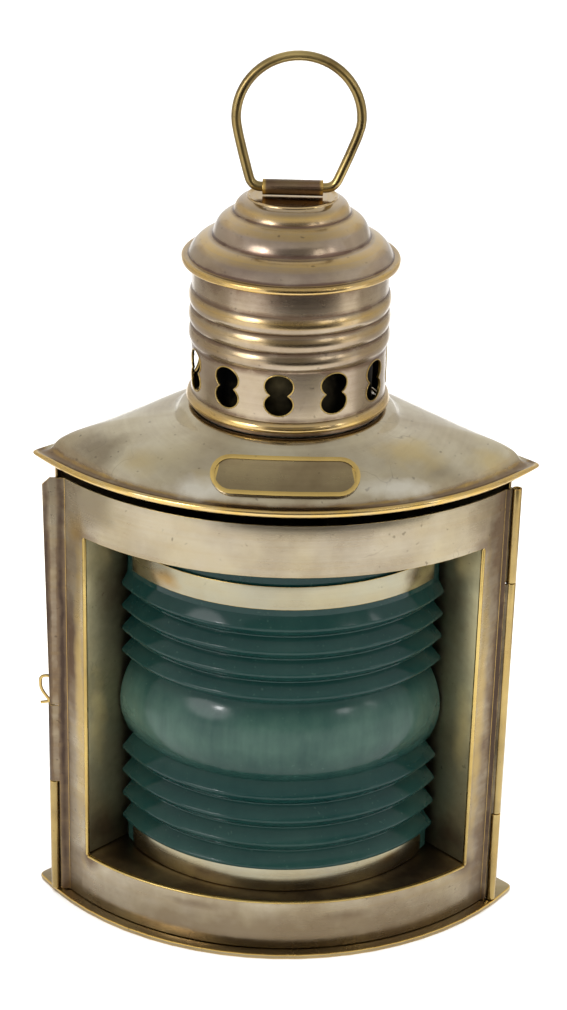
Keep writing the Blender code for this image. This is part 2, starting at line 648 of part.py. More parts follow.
def lens_shelf(name, bottom, shade):
    """Flat plate under or over the lens, from the door sheet to just behind the lens."""
    radius = JAMB_BACK_RADIUS
    reach = math.asin((WINDOW_HALF_WIDTH + JAMB_FLANGE) / radius)
    inner = LENS_INNER_RADIUS - CURB_SETBACK
    span = LENS_HALF_ANGLE + GAP / LENS_INNER_RADIUS * 10
    outline = arc(radius, -reach, reach, 20, FRONT_CENTRE_Y) + arc(inner, span, -span, 16, LENS_CENTRE_Y)
    add_mesh_object(name, plate_mesh(name, [outline], bottom, bottom + SHEET), shade)


def lens_profile():
    """Radii and heights of the lens from its foot up: ribs, bulge, ribs, and the plain inside."""
    points = [(LENS_RIM_RADIUS, LENS_Z), (LENS_RIM_RADIUS, LENS_Z + LENS_FOOT - RIB_CREST_FLAT)]
    flat = RIB_CREST_FLAT / 2
    z = LENS_Z + LENS_FOOT
    for i in range(RIB_COUNT):
        points += [(LENS_CREST_RADIUS, z - flat), (LENS_CREST_RADIUS, z + flat)]
        points.append((LENS_VALLEY_RADIUS, z + RIB_PITCH_BELOW / 2))
        z += RIB_PITCH_BELOW
    start = z - RIB_PITCH_BELOW / 2
    steps = 8
    for i in range(1, steps):
        share = i / steps
        swell = math.sin(math.pi * share) ** 0.8
        radius = LENS_VALLEY_RADIUS + (LENS_BULGE_RADIUS - LENS_VALLEY_RADIUS) * swell
        points.append((radius, start + 2 * BULGE_HALF_HEIGHT * share))
    z = start + 2 * BULGE_HALF_HEIGHT + RIB_PITCH_ABOVE / 2
    for i in range(RIB_COUNT):
        points.append((LENS_VALLEY_RADIUS, z - RIB_PITCH_ABOVE / 2))
        points += [(LENS_CREST_RADIUS, z - flat), (LENS_CREST_RADIUS, z + flat)]
        z += RIB_PITCH_ABOVE
    points += [(LENS_RIM_RADIUS, z - RIB_PITCH_ABOVE / 2), (LENS_RIM_RADIUS, LENS_TOP_Z)]
    return points + [(LENS_INNER_RADIUS, LENS_TOP_Z), (LENS_INNER_RADIUS, LENS_Z)]


def lens():
    """Pressed glass: the profile swept through an arc, closed by its two cut ends."""
    bm = bmesh.new()
    start = LENS_HALF_ANGLE - math.pi / 2
    verts = [bm.verts.new((r * math.cos(start), LENS_CENTRE_Y + r * math.sin(start), z))
             for r, z in lens_profile()]
    face = bm.faces.new(verts)
    bmesh.ops.spin(bm, geom=[face] + list(face.edges) + verts, cent=(0, LENS_CENTRE_Y, 0), axis=(0, 0, 1),
                   angle=-2 * LENS_HALF_ANGLE, steps=24, use_duplicate=False)
    bmesh.ops.remove_doubles(bm, verts=bm.verts, dist=SHEET / 100)
    glass = material("lens_glass", GREEN_GLASS, 0.0, 0.08, 0.75)
    add_mesh_object("lens", mesh_from(bm, "lens"), glass)


def lens_band(name, bottom, height, shade):
    """Thin band across the front of the lens's plain edge."""
    path = arc(LENS_RIM_RADIUS + GAP + SHEET, BAND_HALF_ANGLE, -BAND_HALF_ANGLE, 24, LENS_CENTRE_Y)
    bent_sheet(name, path, bottom, bottom + height, shade)


def window_parts():
    """Everything that holds the lens in the door."""
    jamb("jamb_right", 1)
    jamb("jamb_left", -1)
    dark = brass("shelf_brass", DARK_BRASS)
    lens_shelf("sill_plate", WINDOW_Z - SHEET, dark)
    lens_shelf("head_plate", WINDOW_TOP_Z, dark)
    bright = brass("band_brass")
    lens_band("lower_band", LENS_Z, LOWER_BAND_HEIGHT, bright)
    lens_band("upper_band", LENS_TOP_Z - UPPER_BAND_DROP - UPPER_BAND_HEIGHT, UPPER_BAND_HEIGHT, bright)
    lens()


def roof_ring(outline, radius, share, sink):
    """One loop of the dome between its foot outline and the raised ring."""
    loop = []
    for x, y in outline:
        turn = math.atan2(x, -y)
        side = min(1.0, max(0.0, (abs(turn) - math.radians(40)) / math.radians(40)))
        target = Vector((radius * math.sin(turn), -radius * math.cos(turn)))
        place = Vector((x, y)).lerp(target, share)
        rise = (1 - (1 - share) ** (1.15 + 0.35 * side)) ** (1 / (1.15 + 0.85 * side))
        top = DOME_RISE - GAP - SIDE_DROP * side
        loop.append(Vector((place.x, place.y, DOME_Z + top * rise - sink)))
    return loop


def rim_loop(inset, height):
    """A loop of the flange or its beaded rim, pressed flatter towards the two tips."""
    loop = []
    start, full, ease, end = TIP_TURNS
    for x, y in plan_outline(inset, PLAN_TIP_FILLET, PLAN_BACK_FILLET, wall_steps=8):
        turn = abs(math.atan2(x, -y))
        share = min(1.0, max(0.0, min((turn - start) / (full - start), (end - turn) / (end - ease))))
        loop.append(Vector((x, y, RIM_Z + (height - RIM_Z) * (1 - TIP_PRESS * share))))
    return loop


def round_loop(outline, radius, height):
    """A circle whose points lie on the same rays as an outline's."""
    turns = [math.atan2(x, -y) for x, y in outline]
    return [Vector((radius * math.sin(a), -radius * math.cos(a), height)) for a in turns]


def roof():
    """Pressed roof: beaded rim, narrow flange, swelling dome, raised ring and open throat."""
    foot = plan_outline(FLANGE_WIDTH, SHOULDER_FILLET, SHOULDER_FILLET, wall_steps=8)
    shares = (0.0, 0.03, 0.07, 0.13, 0.22, 0.36, 0.56, 0.78, 1.0)
    bead_z = FLANGE_TOP_Z + BEAD_RISE
    loops = [rim_loop(BEAD_ROUND, RIM_Z), rim_loop(0, RIM_Z + BEAD_ROUND), rim_loop(0, bead_z - BEAD_ROUND),
             rim_loop(BEAD_ROUND, bead_z), rim_loop(2 * BEAD_ROUND, bead_z - BEAD_ROUND / 2),
             rim_loop(BEAD_WIDTH, FLANGE_TOP_Z)]
    loops += [roof_ring(foot, STEP_RADIUS, share, 0) for share in shares]
    loops += [round_loop(foot, STEP_RADIUS, STEP_Z), round_loop(foot, STEP_TOP_RADIUS, LAND_Z),
              round_loop(foot, THROAT_RADIUS, LAND_Z)]
    loops += [round_loop(foot, THROAT_RADIUS, LAND_Z - SHEET)]
    inner_radius = STEP_RADIUS - SHEET
    foot_in = plan_outline(FLANGE_WIDTH + SHEET, SHOULDER_FILLET, SHOULDER_FILLET, wall_steps=8)
    for share in reversed(shares[2::2]):
        loops.append(roof_ring(foot_in, inner_radius, share, 1.6 * SHEET))
    under = FLANGE_TOP_Z - SHEET
    loops.append([Vector((x, y, under)) for x, y in foot_in])
    loops += [rim_loop(2 * BEAD_ROUND, under), rim_loop(2 * BEAD_ROUND, RIM_Z)]
    bm = bmesh.new()
    rows = [[bm.verts.new(place) for place in loop] for loop in loops]
    for row, following in zip(rows, rows[1:] + rows[:1]):
        for i in range(len(row)):
            k = (i + 1) % len(row)
            bm.faces.new((row[i], row[k], following[k], following[i]))
    add_mesh_object("roof", mesh_from(bm, "roof"), brass("roof"))


def pill(length, height, steps=12):
    """Outline with round ends, its two long sides bent up a little towards the ends."""
    radius, half = height / 2, (length - height) / 2
    right = [(half + radius * math.sin(a), -radius * math.cos(a))
             for a in (math.pi * i / steps for i in range(steps + 1))]
    along = [half * share for share in (0.6, 0.2, -0.2, -0.6)]
    upper, lower = [(x, radius) for x in along], [(-x, -radius) for x in along]
    outline = right + upper + [(-x, -y) for x, y in right] + lower
    return [(x, y + x * x / (2 * PLATE_SMILE_RADIUS)) for x, y in outline]


def name_plate():
    """Long plate with a raised rim, bowed to follow the roof's front slope."""
    foot_y = FRONT_CENTRE_Y - (PLATE_FRONT_RADIUS - FLANGE_WIDTH)
    run, rise = -STEP_RADIUS - foot_y, DOME_RISE
    slope = math.atan2(rise, run)
    middle = Vector((0, foot_y + run * 0.5, DOME_Z + rise * 0.5))
    outward = Vector((0, -math.sin(slope), math.cos(slope)))
    middle += outward * (PLATE_CLEARANCE + GAP)
    tilt = Matrix.Translation(middle) @ Matrix.Rotation(slope, 4, "X")
    depth = PLATE_HEIGHT * 2

    def shell(name, start, end):
        """Part of a cone whose wall lies in the slope at the middle of the plate."""
        half = PLATE_HEIGHT
        cone = [(PLATE_BOW_RADIUS - math.cos(slope) * s, math.sin(slope) * s) for s in (half, -half)]
        faces = [[(r + math.sin(slope) * out, z + math.cos(slope) * out) for r, z in cone]
                 for out in (end, start)]
        made = turned(name, faces[0] + faces[1][::-1], brass(name), 128)
        made.location = (0, middle.y + PLATE_BOW_RADIUS, middle.z)
        return made

    def prism(name, outline):
        made = cutter(name, plate_mesh(name, [outline], -depth, depth))
        made.matrix_world = tilt
        return made

    face = PLATE_THICK + PLATE_RIM_RISE
    plate = shell("name_plate", 0, face)
    combine(plate, prism("plate_outline", pill(PLATE_LENGTH, PLATE_HEIGHT)), "INTERSECT")
    pocket = shell("plate_pocket", PLATE_THICK, face + CUT_OVERRUN)
    LAMP.objects.unlink(pocket)
    CUTTERS.objects.link(pocket)
    pocket.hide_render = True
    pocket.display_type = "WIRE"
    inner_pill = pill(PLATE_LENGTH - 2 * PLATE_RIM_WIDTH, PLATE_HEIGHT - 2 * PLATE_RIM_WIDTH)
    combine(pocket, prism("pocket_outline", inner_pill), "INTERSECT")
    combine(plate, pocket)


def swell(start, end, bulge, steps, ends=True):
    """Points of a convex tier between two corners, standing proud of their chord."""
    a, b = Vector(start), Vector(end)
    run = (b - a).normalized()
    out = Vector((-run.y, run.x))
    span = range(steps + 1) if ends else range(1, steps)
    return [tuple(a.lerp(b, i / steps) + out * bulge * math.sin(math.pi * i / steps)) for i in span]


def chimney():
    """Vent tube with a rolled foot ring, vents in the lower band and beads above them."""
    wall = CHIMNEY_RADIUS
    outer = [(wall, CHIMNEY_Z), (wall, FOOT_RING_Z)]
    # The foot flares out to a bead, round below and sloping above
    for reach, height in ((0.7, 0), (1, 0.18), (1, 0.42), (0.6, 0.66), (0.2, 0.88)):
        outer.append((wall + (FOOT_RING_RADIUS - wall) * reach, FOOT_RING_Z + FOOT_RING_HEIGHT * height))
    outer.append((wall, VENT_BAND_Z))
    z = BEADS_Z
    for i in range(BEAD_COUNT):
        outer.append((wall, z))
        outer += swell((wall, z + BEAD_PITCH), (wall, z), CHIMNEY_BEAD_RISE, 3, False)[::-1]
        z += BEAD_PITCH
    outer += [(wall, z), (wall, CHIMNEY_TOP_Z - GAP)]
    inner = [(wall - SHEET, CHIMNEY_Z), (wall - SHEET, CHIMNEY_TOP_Z - GAP)]
    body = turned("chimney", outer[::-1] + inner, brass("chimney"), 40)
    lobe_z = VENT_BAND_Z + VENT_SILL + VENT_LOBE_HALF_HEIGHT
    for name, height in (("lower_lobes", lobe_z), ("upper_lobes", lobe_z + VENT_LOBE_SPACING)):
        bm = bmesh.new()
        for i in range(VENT_COUNT):
            turn = VENT_PHASE + 2 * math.pi * i / VENT_COUNT
            place = Matrix.Translation((wall * math.sin(turn), -wall * math.cos(turn), height))
            face = Matrix.Rotation(turn, 4, "Z") @ Matrix.Rotation(math.pi / 2, 4, "X")
            size = Matrix.Diagonal((1, VENT_LOBE_HALF_HEIGHT / VENT_HALF_WIDTH, 1, 1))
            bmesh.ops.create_cone(bm, cap_ends=True, segments=12, radius1=VENT_HALF_WIDTH,
                                  radius2=VENT_HALF_WIDTH, depth=2 * CUT_OVERRUN, matrix=place @ face @ size)
        combine(body, cutter(name, mesh_from(bm, name)))


def vent_cap():
    """Stepped cap: a rolled rim, three swelling tiers and a small flat top with a ridge."""
    tiers = [(CAP_TIER_1_RADIUS, CAP_TIER_1_Z), (CAP_TIER_2_RADIUS, CAP_TIER_2_Z),
             (CAP_TIER_3_RADIUS, CAP_TIER_3_Z), (CAP_TOP_RADIUS, CAP_TOP_Z)]
    bulges = (CAP_BULGE_1, CAP_BULGE_2, CAP_BULGE_3)
    rim_z = CAP_TIER_1_Z - CAP_RIM_HEIGHT
    ridge = CAP_TOP_RADIUS - CAP_RIDGE
    outer = [(0, CAP_TOP_Z), (ridge - CAP_RIDGE, CAP_TOP_Z), (ridge, CAP_TOP_Z + CAP_RIDGE),
             (CAP_TOP_RADIUS, CAP_TOP_Z + CAP_RIDGE / 2)]
    for (high, low, bulge) in zip(tiers[:0:-1], tiers[-2::-1], bulges[::-1]):
        below = (low[0] - CAP_CREASE, low[1] + CAP_CREASE)
        outer += swell(high, below, bulge, 4)
        outer.append(low)
    rim_in = CAP_RIM_RADIUS - CAP_RIM_HEIGHT / 4
    outer += [(rim_in, CAP_TIER_1_Z), (CAP_RIM_RADIUS, CAP_TIER_1_Z - CAP_RIM_HEIGHT / 4),
              (CAP_RIM_RADIUS, rim_z + CAP_RIM_HEIGHT / 4), (rim_in, rim_z)]
    inner_rim = CAP_TIER_1_RADIUS - SHEET / 2
    inner = [(inner_rim, rim_z), (inner_rim, CAP_TIER_1_Z - GAP)]
    for radius, height in tiers[1:]:
        inner.append((radius - SHEET, height - SHEET))
    inner.append((0, CAP_TOP_Z - SHEET))
    turned("vent_cap", outer + inner, brass("vent_cap"), 40, False)


def carrying_handle():
    """Short tube soldered across the cap, and the wire bow that swings in it."""
    bore = [(BARREL_RADIUS, BARREL_HALF_LENGTH), (BARREL_RADIUS, -BARREL_HALF_LENGTH),
            (BARREL_BORE, -BARREL_HALF_LENGTH), (BARREL_BORE, BARREL_HALF_LENGTH)]
    barrel = turned("handle_barrel", bore, brass("handle_barrel", DARK_BRASS), 20)
    barrel.rotation_euler = (0, math.pi / 2, 0)
    barrel.location = (0, 0, BARREL_Z)
    steps = 18
    start, end = -BOW_LEG_ANGLE, math.pi + BOW_LEG_ANGLE
    bow = [(BOW_LEAN + BOW_RADIUS * math.cos(a), BOW_RISE + BOW_RADIUS * math.sin(a))
           for a in (start + (end - start) * i / steps for i in range(steps + 1))]
    right = rounded([(0, 0), (LEG_FOOT_X, 0), bow[0]], [0, LEG_FOOT_BEND, 0], 5)
    left = rounded([bow[-1], (-LEG_FOOT_X, 0), (0, 0)], [0, LEG_FOOT_BEND, 0], 5)
    loop = right[:-1] + bow + left[1:-1]
    wire = wire_mesh("handle", [(x, 0, z) for x, z in loop], WIRE_RADIUS, 3, True)
    bow_wire = add_mesh_object("handle", wire, brass("handle", BRIGHT_BRASS))
    bow_wire.location = (0, 0, BARREL_Z)


def fount():
    """Oil fount in two pressings, and the ring on the base plate that keeps it in place."""
    ring_in = FOUNT_RADIUS + GAP
    ring_out = ring_in + SHEET
    ring_top = FLOOR_Z + FOUNT_RING_HEIGHT
    turned("fount_ring", [(ring_out, ring_top), (ring_out, FLOOR_Z), (ring_in, FLOOR_Z), (ring_in, ring_top)],
           brass("fount_ring", DARK_BRASS), 32)
    steel = brass("fount_brass", BRIGHT_BRASS)
    wall_in = FOUNT_RADIUS - SHEET
    foot = FOUNT_RADIUS - FOUNT_FOOT_ROUND
    turned("fount_body", [(0, FLOOR_Z + SHEET), (wall_in, FLOOR_Z + SHEET + GAP), (wall_in, FOUNT_SEAM_Z),
                          (FOUNT_RADIUS, FOUNT_SEAM_Z), (FOUNT_RADIUS, FLOOR_Z + FOUNT_FOOT_ROUND),
                          (foot, FLOOR_Z), (0, FLOOR_Z)], steel, 32, False)
    seam = FOUNT_SEAM_Z + GAP
    neck = FOUNT_COLLAR_RADIUS - SHEET
    shoulder = swell((FOUNT_COLLAR_RADIUS, COLLAR_Z), (FOUNT_RADIUS, seam + SHEET), SHEET, 4)
    outer = [(FOUNT_COLLAR_RADIUS, COLLAR_TOP_Z)] + shoulder + [(FOUNT_RADIUS, seam)]
    inner = [(wall_in, seam), (neck, COLLAR_Z - SHEET), (neck, COLLAR_TOP_Z)]
    turned("fount_top", outer + inner, steel, 32)


def flat_tube(name, half_width, half_thick, wall, bottom, top, shade):
    """Flat tube with square corners, as the wick slides in."""
    def box(x, y):
        return [(-x, -y), (x, -y), (x, y), (-x, y)]
    outlines = [box(half_width, half_thick), box(half_width - wall, half_thick - wall)]
    return add_mesh_object(name, plate_mesh(name, outlines, bottom, top), shade)


def wick_parts():
    """Flat wick in its tube, moved by two spur wheels on a spindle with a knob."""
    shade = brass("burner_brass", BRIGHT_BRASS)
    tube_bottom = DRUM_Z - WICK_TUBE_DROP
    holder = flat_tube("wick_tube", WICK_TUBE_X, WICK_TUBE_Y, THIN_SHEET, tube_bottom, WICK_TUBE_TOP_Z, shade)
    reach = SPUR_RADIUS + GAP
    slots = [((side * SPUR_OFFSET - SPUR_WIDTH / 2 - GAP, -WICK_TUBE_Y - CUT_OVERRUN, SPINDLE_Z - reach),
              (side * SPUR_OFFSET + SPUR_WIDTH / 2 + GAP, -WICK_HALF_THICK, SPINDLE_Z + reach))
             for side in (-1, 1)]
    combine(holder, cutter("spur_slots", boxes_mesh("spur_slots", slots)))
    low = tube_bottom - WICK_TAIL
    high = WICK_TUBE_TOP_Z + WICK_ABOVE_TUBE
    wick = boxes_mesh("wick", [((-WICK_HALF_WIDTH, -WICK_HALF_THICK, low),
                                (WICK_HALF_WIDTH, WICK_HALF_THICK, high))])
    add_mesh_object("wick", wick, material("wick_cotton", COTTON, 0.0, 0.9))
    across = Matrix.Rotation(math.pi / 2, 4, "Y")
    bm = bmesh.new()
    middle = (SPINDLE_LENGTH / 2 - SPINDLE_TAIL)
    bmesh.ops.create_cone(bm, cap_ends=True, segments=12, radius1=SPINDLE_RADIUS, radius2=SPINDLE_RADIUS,
                          depth=SPINDLE_LENGTH, matrix=Matrix.Translation((middle, 0, 0)) @ across)
    spindle = add_mesh_object("wick_spindle", mesh_from(bm, "wick_spindle"), shade)
    spindle.location = (0, SPINDLE_Y, SPINDLE_Z)
    for side in (-1, 1):
        outline = []
        for i in range(2 * SPUR_TEETH):
            radius = SPUR_RADIUS if i % 2 else SPUR_RADIUS - SPINDLE_RADIUS
            turn = math.pi * i / SPUR_TEETH
            outline.append((radius * math.cos(turn), radius * math.sin(turn)))
        wheel = cutter("spur", plate_mesh("spur", [outline], -SPUR_WIDTH / 2, SPUR_WIDTH / 2))
        wheel.rotation_euler = (0, math.pi / 2, 0)
        wheel.location = (side * SPUR_OFFSET, SPINDLE_Y, SPINDLE_Z)
        combine(spindle, wheel, "UNION")
    outline = []
    for i in range(2 * KNOB_LOBES):
        radius = KNOB_RADIUS if i % 2 else KNOB_RADIUS - SPINDLE_RADIUS / 2
        turn = math.pi * i / KNOB_LOBES
        outline.append((radius * math.cos(turn), radius * math.sin(turn)))
    knob = add_mesh_object("wick_knob", plate_mesh("wick_knob", [outline], 0, KNOB_WIDTH), shade)
    knob.rotation_euler = (0, math.pi / 2, 0)
    knob.location = (SPINDLE_LENGTH - SPINDLE_TAIL + GAP, SPINDLE_Y, SPINDLE_Z)


def burner():
    """Drum screwed into the fount, gallery with prongs, and the slotted flame deflector."""
    shade = brass("drum_brass", BRIGHT_BRASS)
    plug = FOUNT_COLLAR_RADIUS - SHEET - GAP
    plug_z = DRUM_Z - GAP - DRUM_PLUG_DEPTH
    wall = DRUM_RADIUS - THIN_SHEET
    profile = [(0, DRUM_Z + THIN_SHEET), (wall, DRUM_Z + THIN_SHEET), (wall, DRUM_TOP_Z),
               (DRUM_RADIUS, DRUM_TOP_Z), (DRUM_RADIUS, DRUM_Z), (plug, DRUM_Z), (plug, plug_z), (0, plug_z)]
    drum = turned("burner_base", profile, shade, 28, False)
    x, y = WICK_TUBE_X + GAP, WICK_TUBE_Y + GAP
    way = boxes_mesh("wick_way", [((-x, -y, plug_z - CUT_OVERRUN), (x, y, DRUM_Z + CUT_OVERRUN))])
    combine(drum, cutter("wick_way", way))
    clear = SPINDLE_RADIUS + GAP
    hole = cylinder_mesh("spindle_hole", clear, 2 * DRUM_RADIUS, Matrix.Rotation(math.pi / 2, 4, "Y"), 12)
    bore = cutter("spindle_hole", hole)
    bore.location = (DRUM_RADIUS, SPINDLE_Y, SPINDLE_Z)
    combine(drum, bore)
    pit = SPUR_RADIUS + GAP
    well = boxes_mesh("spur_well", [((-WICK_HALF_WIDTH, SPINDLE_Y - pit, SPINDLE_Z - pit),
                                     (WICK_HALF_WIDTH, -WICK_HALF_THICK, DRUM_TOP_Z))])
    combine(drum, cutter("spur_well", well))
    gallery_in = DEFLECTOR_RADIUS + GAP
    lip = GALLERY_RADIUS + GALLERY_LIP
    seat = gallery_in - 2 * GAP
    outer = [(GALLERY_RADIUS, GALLERY_TOP_Z), (lip, GALLERY_TOP_Z), (lip, GALLERY_Z), (seat, GALLERY_Z),
             (seat, GALLERY_Z + THIN_SHEET), (GALLERY_RADIUS, GALLERY_Z + THIN_SHEET)]
    gallery = turned("burner_gallery", outer, shade, 28)
    prongs = []
    inner = GALLERY_RADIUS + GAP
    for i in range(PRONG_COUNT):
        bm = bmesh.new()
        size = Matrix.Diagonal((PRONG_WIDTH, SHEET, PRONG_HEIGHT, 1))
        bmesh.ops.create_cube(bm, size=1, matrix=size)
        spot = cutter("prong", mesh_from(bm, "prong"))
        turn = math.pi / 4 + 2 * math.pi * i / PRONG_COUNT
        radius = inner + SHEET
        spot.location = (radius * math.sin(turn), -radius * math.cos(turn),
                         GALLERY_TOP_Z - THIN_SHEET + PRONG_HEIGHT / 2)
        spot.rotation_euler = (0, 0, turn)
        prongs.append(spot)
    for spot in prongs:
        combine(gallery, spot, "UNION")
    foot_z = GALLERY_Z + THIN_SHEET + GAP
    dome_z = foot_z + DEFLECTOR_FOOT
    dome = [(DEFLECTOR_RADIUS * math.cos(a), dome_z + (DEFLECTOR_RISE - DEFLECTOR_FOOT) * math.sin(a))
            for a in (math.pi / 2 * i / 5 for i in range(5, -1, -1))]
    dome[0] = (0, dome[0][1])
    inside = [(max(0, r - THIN_SHEET * 1.4), z - THIN_SHEET * 1.4) for r, z in dome[::-1]]
    inside[0] = (DEFLECTOR_RADIUS - THIN_SHEET, foot_z)
    inside[-1] = (0, inside[-1][1])
    deflector = turned("flame_deflector", dome + [(DEFLECTOR_RADIUS, foot_z)] + inside, shade, 24, False)
    high = foot_z + DEFLECTOR_RISE + CUT_OVERRUN
    slot = boxes_mesh("flame_slot", [((-x, -y, foot_z - CUT_OVERRUN), (x, y, high))])
    combine(deflector, cutter("flame_slot", slot))


def chimney_glass():
    """Thin glass: a straight foot, a belly round the flame and a long neck."""
    foot_z = GALLERY_Z + THIN_SHEET + GAP
    heights = ((0, GLASS_FOOT_RADIUS), (GLASS_BELLY_HEIGHT / 4, GLASS_FOOT_RADIUS),
               (GLASS_BELLY_HEIGHT * 0.7, (GLASS_FOOT_RADIUS + 3 * GLASS_BELLY_RADIUS) / 4),
               (GLASS_BELLY_HEIGHT, GLASS_BELLY_RADIUS),
               (GLASS_BELLY_HEIGHT * 1.35, (GLASS_TOP_RADIUS + 5 * GLASS_BELLY_RADIUS) / 6),
               (GLASS_NECK_HEIGHT * 0.75, (GLASS_TOP_RADIUS + GLASS_BELLY_RADIUS) / 2),
               (GLASS_NECK_HEIGHT, (4 * GLASS_TOP_RADIUS + GLASS_BELLY_RADIUS) / 5),
               (GLASS_HEIGHT, GLASS_TOP_RADIUS))
    outer = [(radius, foot_z + height) for height, radius in heights]
    inner = [(radius - GLASS_WALL, z) for radius, z in outer]
    turned("chimney_glass", outer[::-1] + inner, material("clear_glass", CLEAR_GLASS, 0.0, 0.05, 0.3), 24)


base_plate()
rear_casing()
base_curb()
hinge()
latch()
door_panel()
window_parts()
roof()
name_plate()
chimney()
vent_cap()
carrying_handle()
fount()
wick_parts()
burner()
chimney_glass()
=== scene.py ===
import math
import bmesh
import bpy
from mathutils import Matrix, Vector


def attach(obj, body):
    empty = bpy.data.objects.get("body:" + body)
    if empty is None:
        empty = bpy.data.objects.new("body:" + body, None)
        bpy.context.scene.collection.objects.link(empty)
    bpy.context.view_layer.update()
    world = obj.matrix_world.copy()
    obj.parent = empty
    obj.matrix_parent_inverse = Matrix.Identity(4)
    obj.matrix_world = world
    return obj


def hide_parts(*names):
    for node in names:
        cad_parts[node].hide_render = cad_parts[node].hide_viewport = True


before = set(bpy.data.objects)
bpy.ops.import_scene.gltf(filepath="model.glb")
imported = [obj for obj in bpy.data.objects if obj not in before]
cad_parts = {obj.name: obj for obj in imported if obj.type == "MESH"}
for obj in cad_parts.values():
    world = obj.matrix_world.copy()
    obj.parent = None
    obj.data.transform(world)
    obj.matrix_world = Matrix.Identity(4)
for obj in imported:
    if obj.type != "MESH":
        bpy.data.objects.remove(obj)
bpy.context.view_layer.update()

MM = 0.001                      # one millimetre, in metres


# The studio: white paper underneath, a white tent behind and at the sides, two soft boxes and
# two small lamps in front and a large box overhead. Dark card low in front and dimmer card at
# the sides are there for the round brass, which mirrors them as dark strips.
def linear(red, green, blue):
    """A colour given as screen values from 0 to 255."""
    return tuple(((c / 255 + 0.055) / 1.055) ** 2.4 if c > 10 else c / 3294 for c in (red, green, blue))


def plain_material(name, colour):
    """A stage material of one even, matt colour."""
    made = bpy.data.materials.new(name)
    made.use_nodes = True
    shader = made.node_tree.nodes["Principled BSDF"]
    shader.inputs["Base Color"].default_value = (*colour, 1)
    shader.inputs["Roughness"].default_value = 0.9
    shader.inputs["Specular IOR Level"].default_value = 0.0
    return made


def stage_sheet(name, corners, stage_material, seen=False):
    """A flat sheet of the stage; a card is seen only in reflections."""
    mesh = bpy.data.meshes.new(name)
    mesh.from_pydata(corners, [], [(0, 1, 2, 3)])
    mesh.materials.append(stage_material)
    made = bpy.data.objects.new(name, mesh)
    bpy.context.scene.collection.objects.link(made)
    made.visible_camera = seen
    if not seen:
        made.visible_diffuse = False
        made.visible_shadow = False


PAPER = 6                       # the paper's half width, in metres
CARD_TOP = 0.8                  # how high the standing cards reach, in metres
stage_sheet("floor", [(-PAPER, -PAPER, 0), (PAPER, -PAPER, 0), (PAPER, PAPER, 0), (-PAPER, PAPER, 0)],
            plain_material("floor_paper", (0.88, 0.88, 0.88)), seen=True)
card_black = plain_material("card_black", (0.012, 0.010, 0.009))
card_grey = plain_material("card_grey", (0.16, 0.15, 0.14))
card_dim = plain_material("card_dim", (0.45, 0.43, 0.40))


def dark_strip(name, left, right, near, far, height, card):
    """A card low over the paper between two directions, in degrees from the front, and one that stands
    at its far edge."""
    turns = [math.radians(turn) for turn in (left, right)]
    inner = [(math.sin(turn) * near, -math.cos(turn) * near, height) for turn in turns]
    outer = [(math.sin(turn) * far, -math.cos(turn) * far, height) for turn in turns]
    stage_sheet(name, [inner[0], inner[1], outer[1], outer[0]], card)
    top = [(x, y, CARD_TOP) for x, y, _ in outer]
    stage_sheet(name + "_wall", [outer[0], outer[1], top[1], top[0]], card)


dark_strip("grey_card", -24, 58, 0.185, 1.30, 0.118, card_grey)
dark_strip("left_dim_card", -150, -72, 0.30, 1.30, 0.003, card_dim)
dark_strip("right_dim_card", 84, 150, 0.30, 1.30, 0.003, card_dim)
dark_strip("black_card", -15, 46, 0.197, 1.28, 0.120, card_black)

world = bpy.data.worlds.new("studio_air")
bpy.context.scene.world = world
world.use_nodes = True
sky = world.node_tree
up = sky.nodes.new("ShaderNodeTexCoord")
split = sky.nodes.new("ShaderNodeSeparateXYZ")
sky.links.new(up.outputs["Generated"], split.inputs[0])
shade = sky.nodes.new("ShaderNodeValToRGB")
TENT = ((0.0, 0.96), (0.45, 0.92), (0.75, 0.80), (1.0, 0.58))    # rise from the horizon, brightness
shade.color_ramp.elements[0].color = (TENT[0][1],) * 3 + (1,)
shade.color_ramp.elements[1].color = (TENT[-1][1],) * 3 + (1,)
for share, level in TENT[1:-1]:
    shade.color_ramp.elements.new(share).color = (level,) * 3 + (1,)
sky.links.new(split.outputs[2], shade.inputs[0])
sky.links.new(shade.outputs[0], sky.nodes["Background"].inputs[0])


def soft_light(name, place, aim, width, height, watts, mirrored=True):
    """A soft box aimed at a point; one that isn't mirrored leaves no highlight."""
    data = bpy.data.lights.new(name, "AREA")
    data.shape = "ELLIPSE"
    data.size = width
    data.size_y = height
    data.energy = watts
    made = bpy.data.objects.new(name, data)
    bpy.context.scene.collection.objects.link(made)
    made.location = place
    made.rotation_mode = "QUATERNION"
    made.rotation_quaternion = (Vector(aim) - Vector(place)).to_track_quat("-Z", "Y")
    made.visible_glossy = mirrored


soft_light("left_softbox", (-1.10, -1.03, 0.52), (0, 0, 0.13), 0.8, 0.7, 5.5)
soft_light("right_softbox", (1.14, -1.00, 0.52), (0, 0, 0.13), 0.8, 0.7, 5)
soft_light("left_lamp", (-0.80, -0.97, 0.53), (0, 0, 0.07), 0.11, 0.11, 1.3)
soft_light("right_lamp", (0.84, -0.93, 0.53), (0, 0, 0.07), 0.11, 0.11, 1.2)
soft_light("top_softbox", (0, 0.2, 1.7), (0, 0, 0), 2.2, 2.2, 40, mirrored=False)

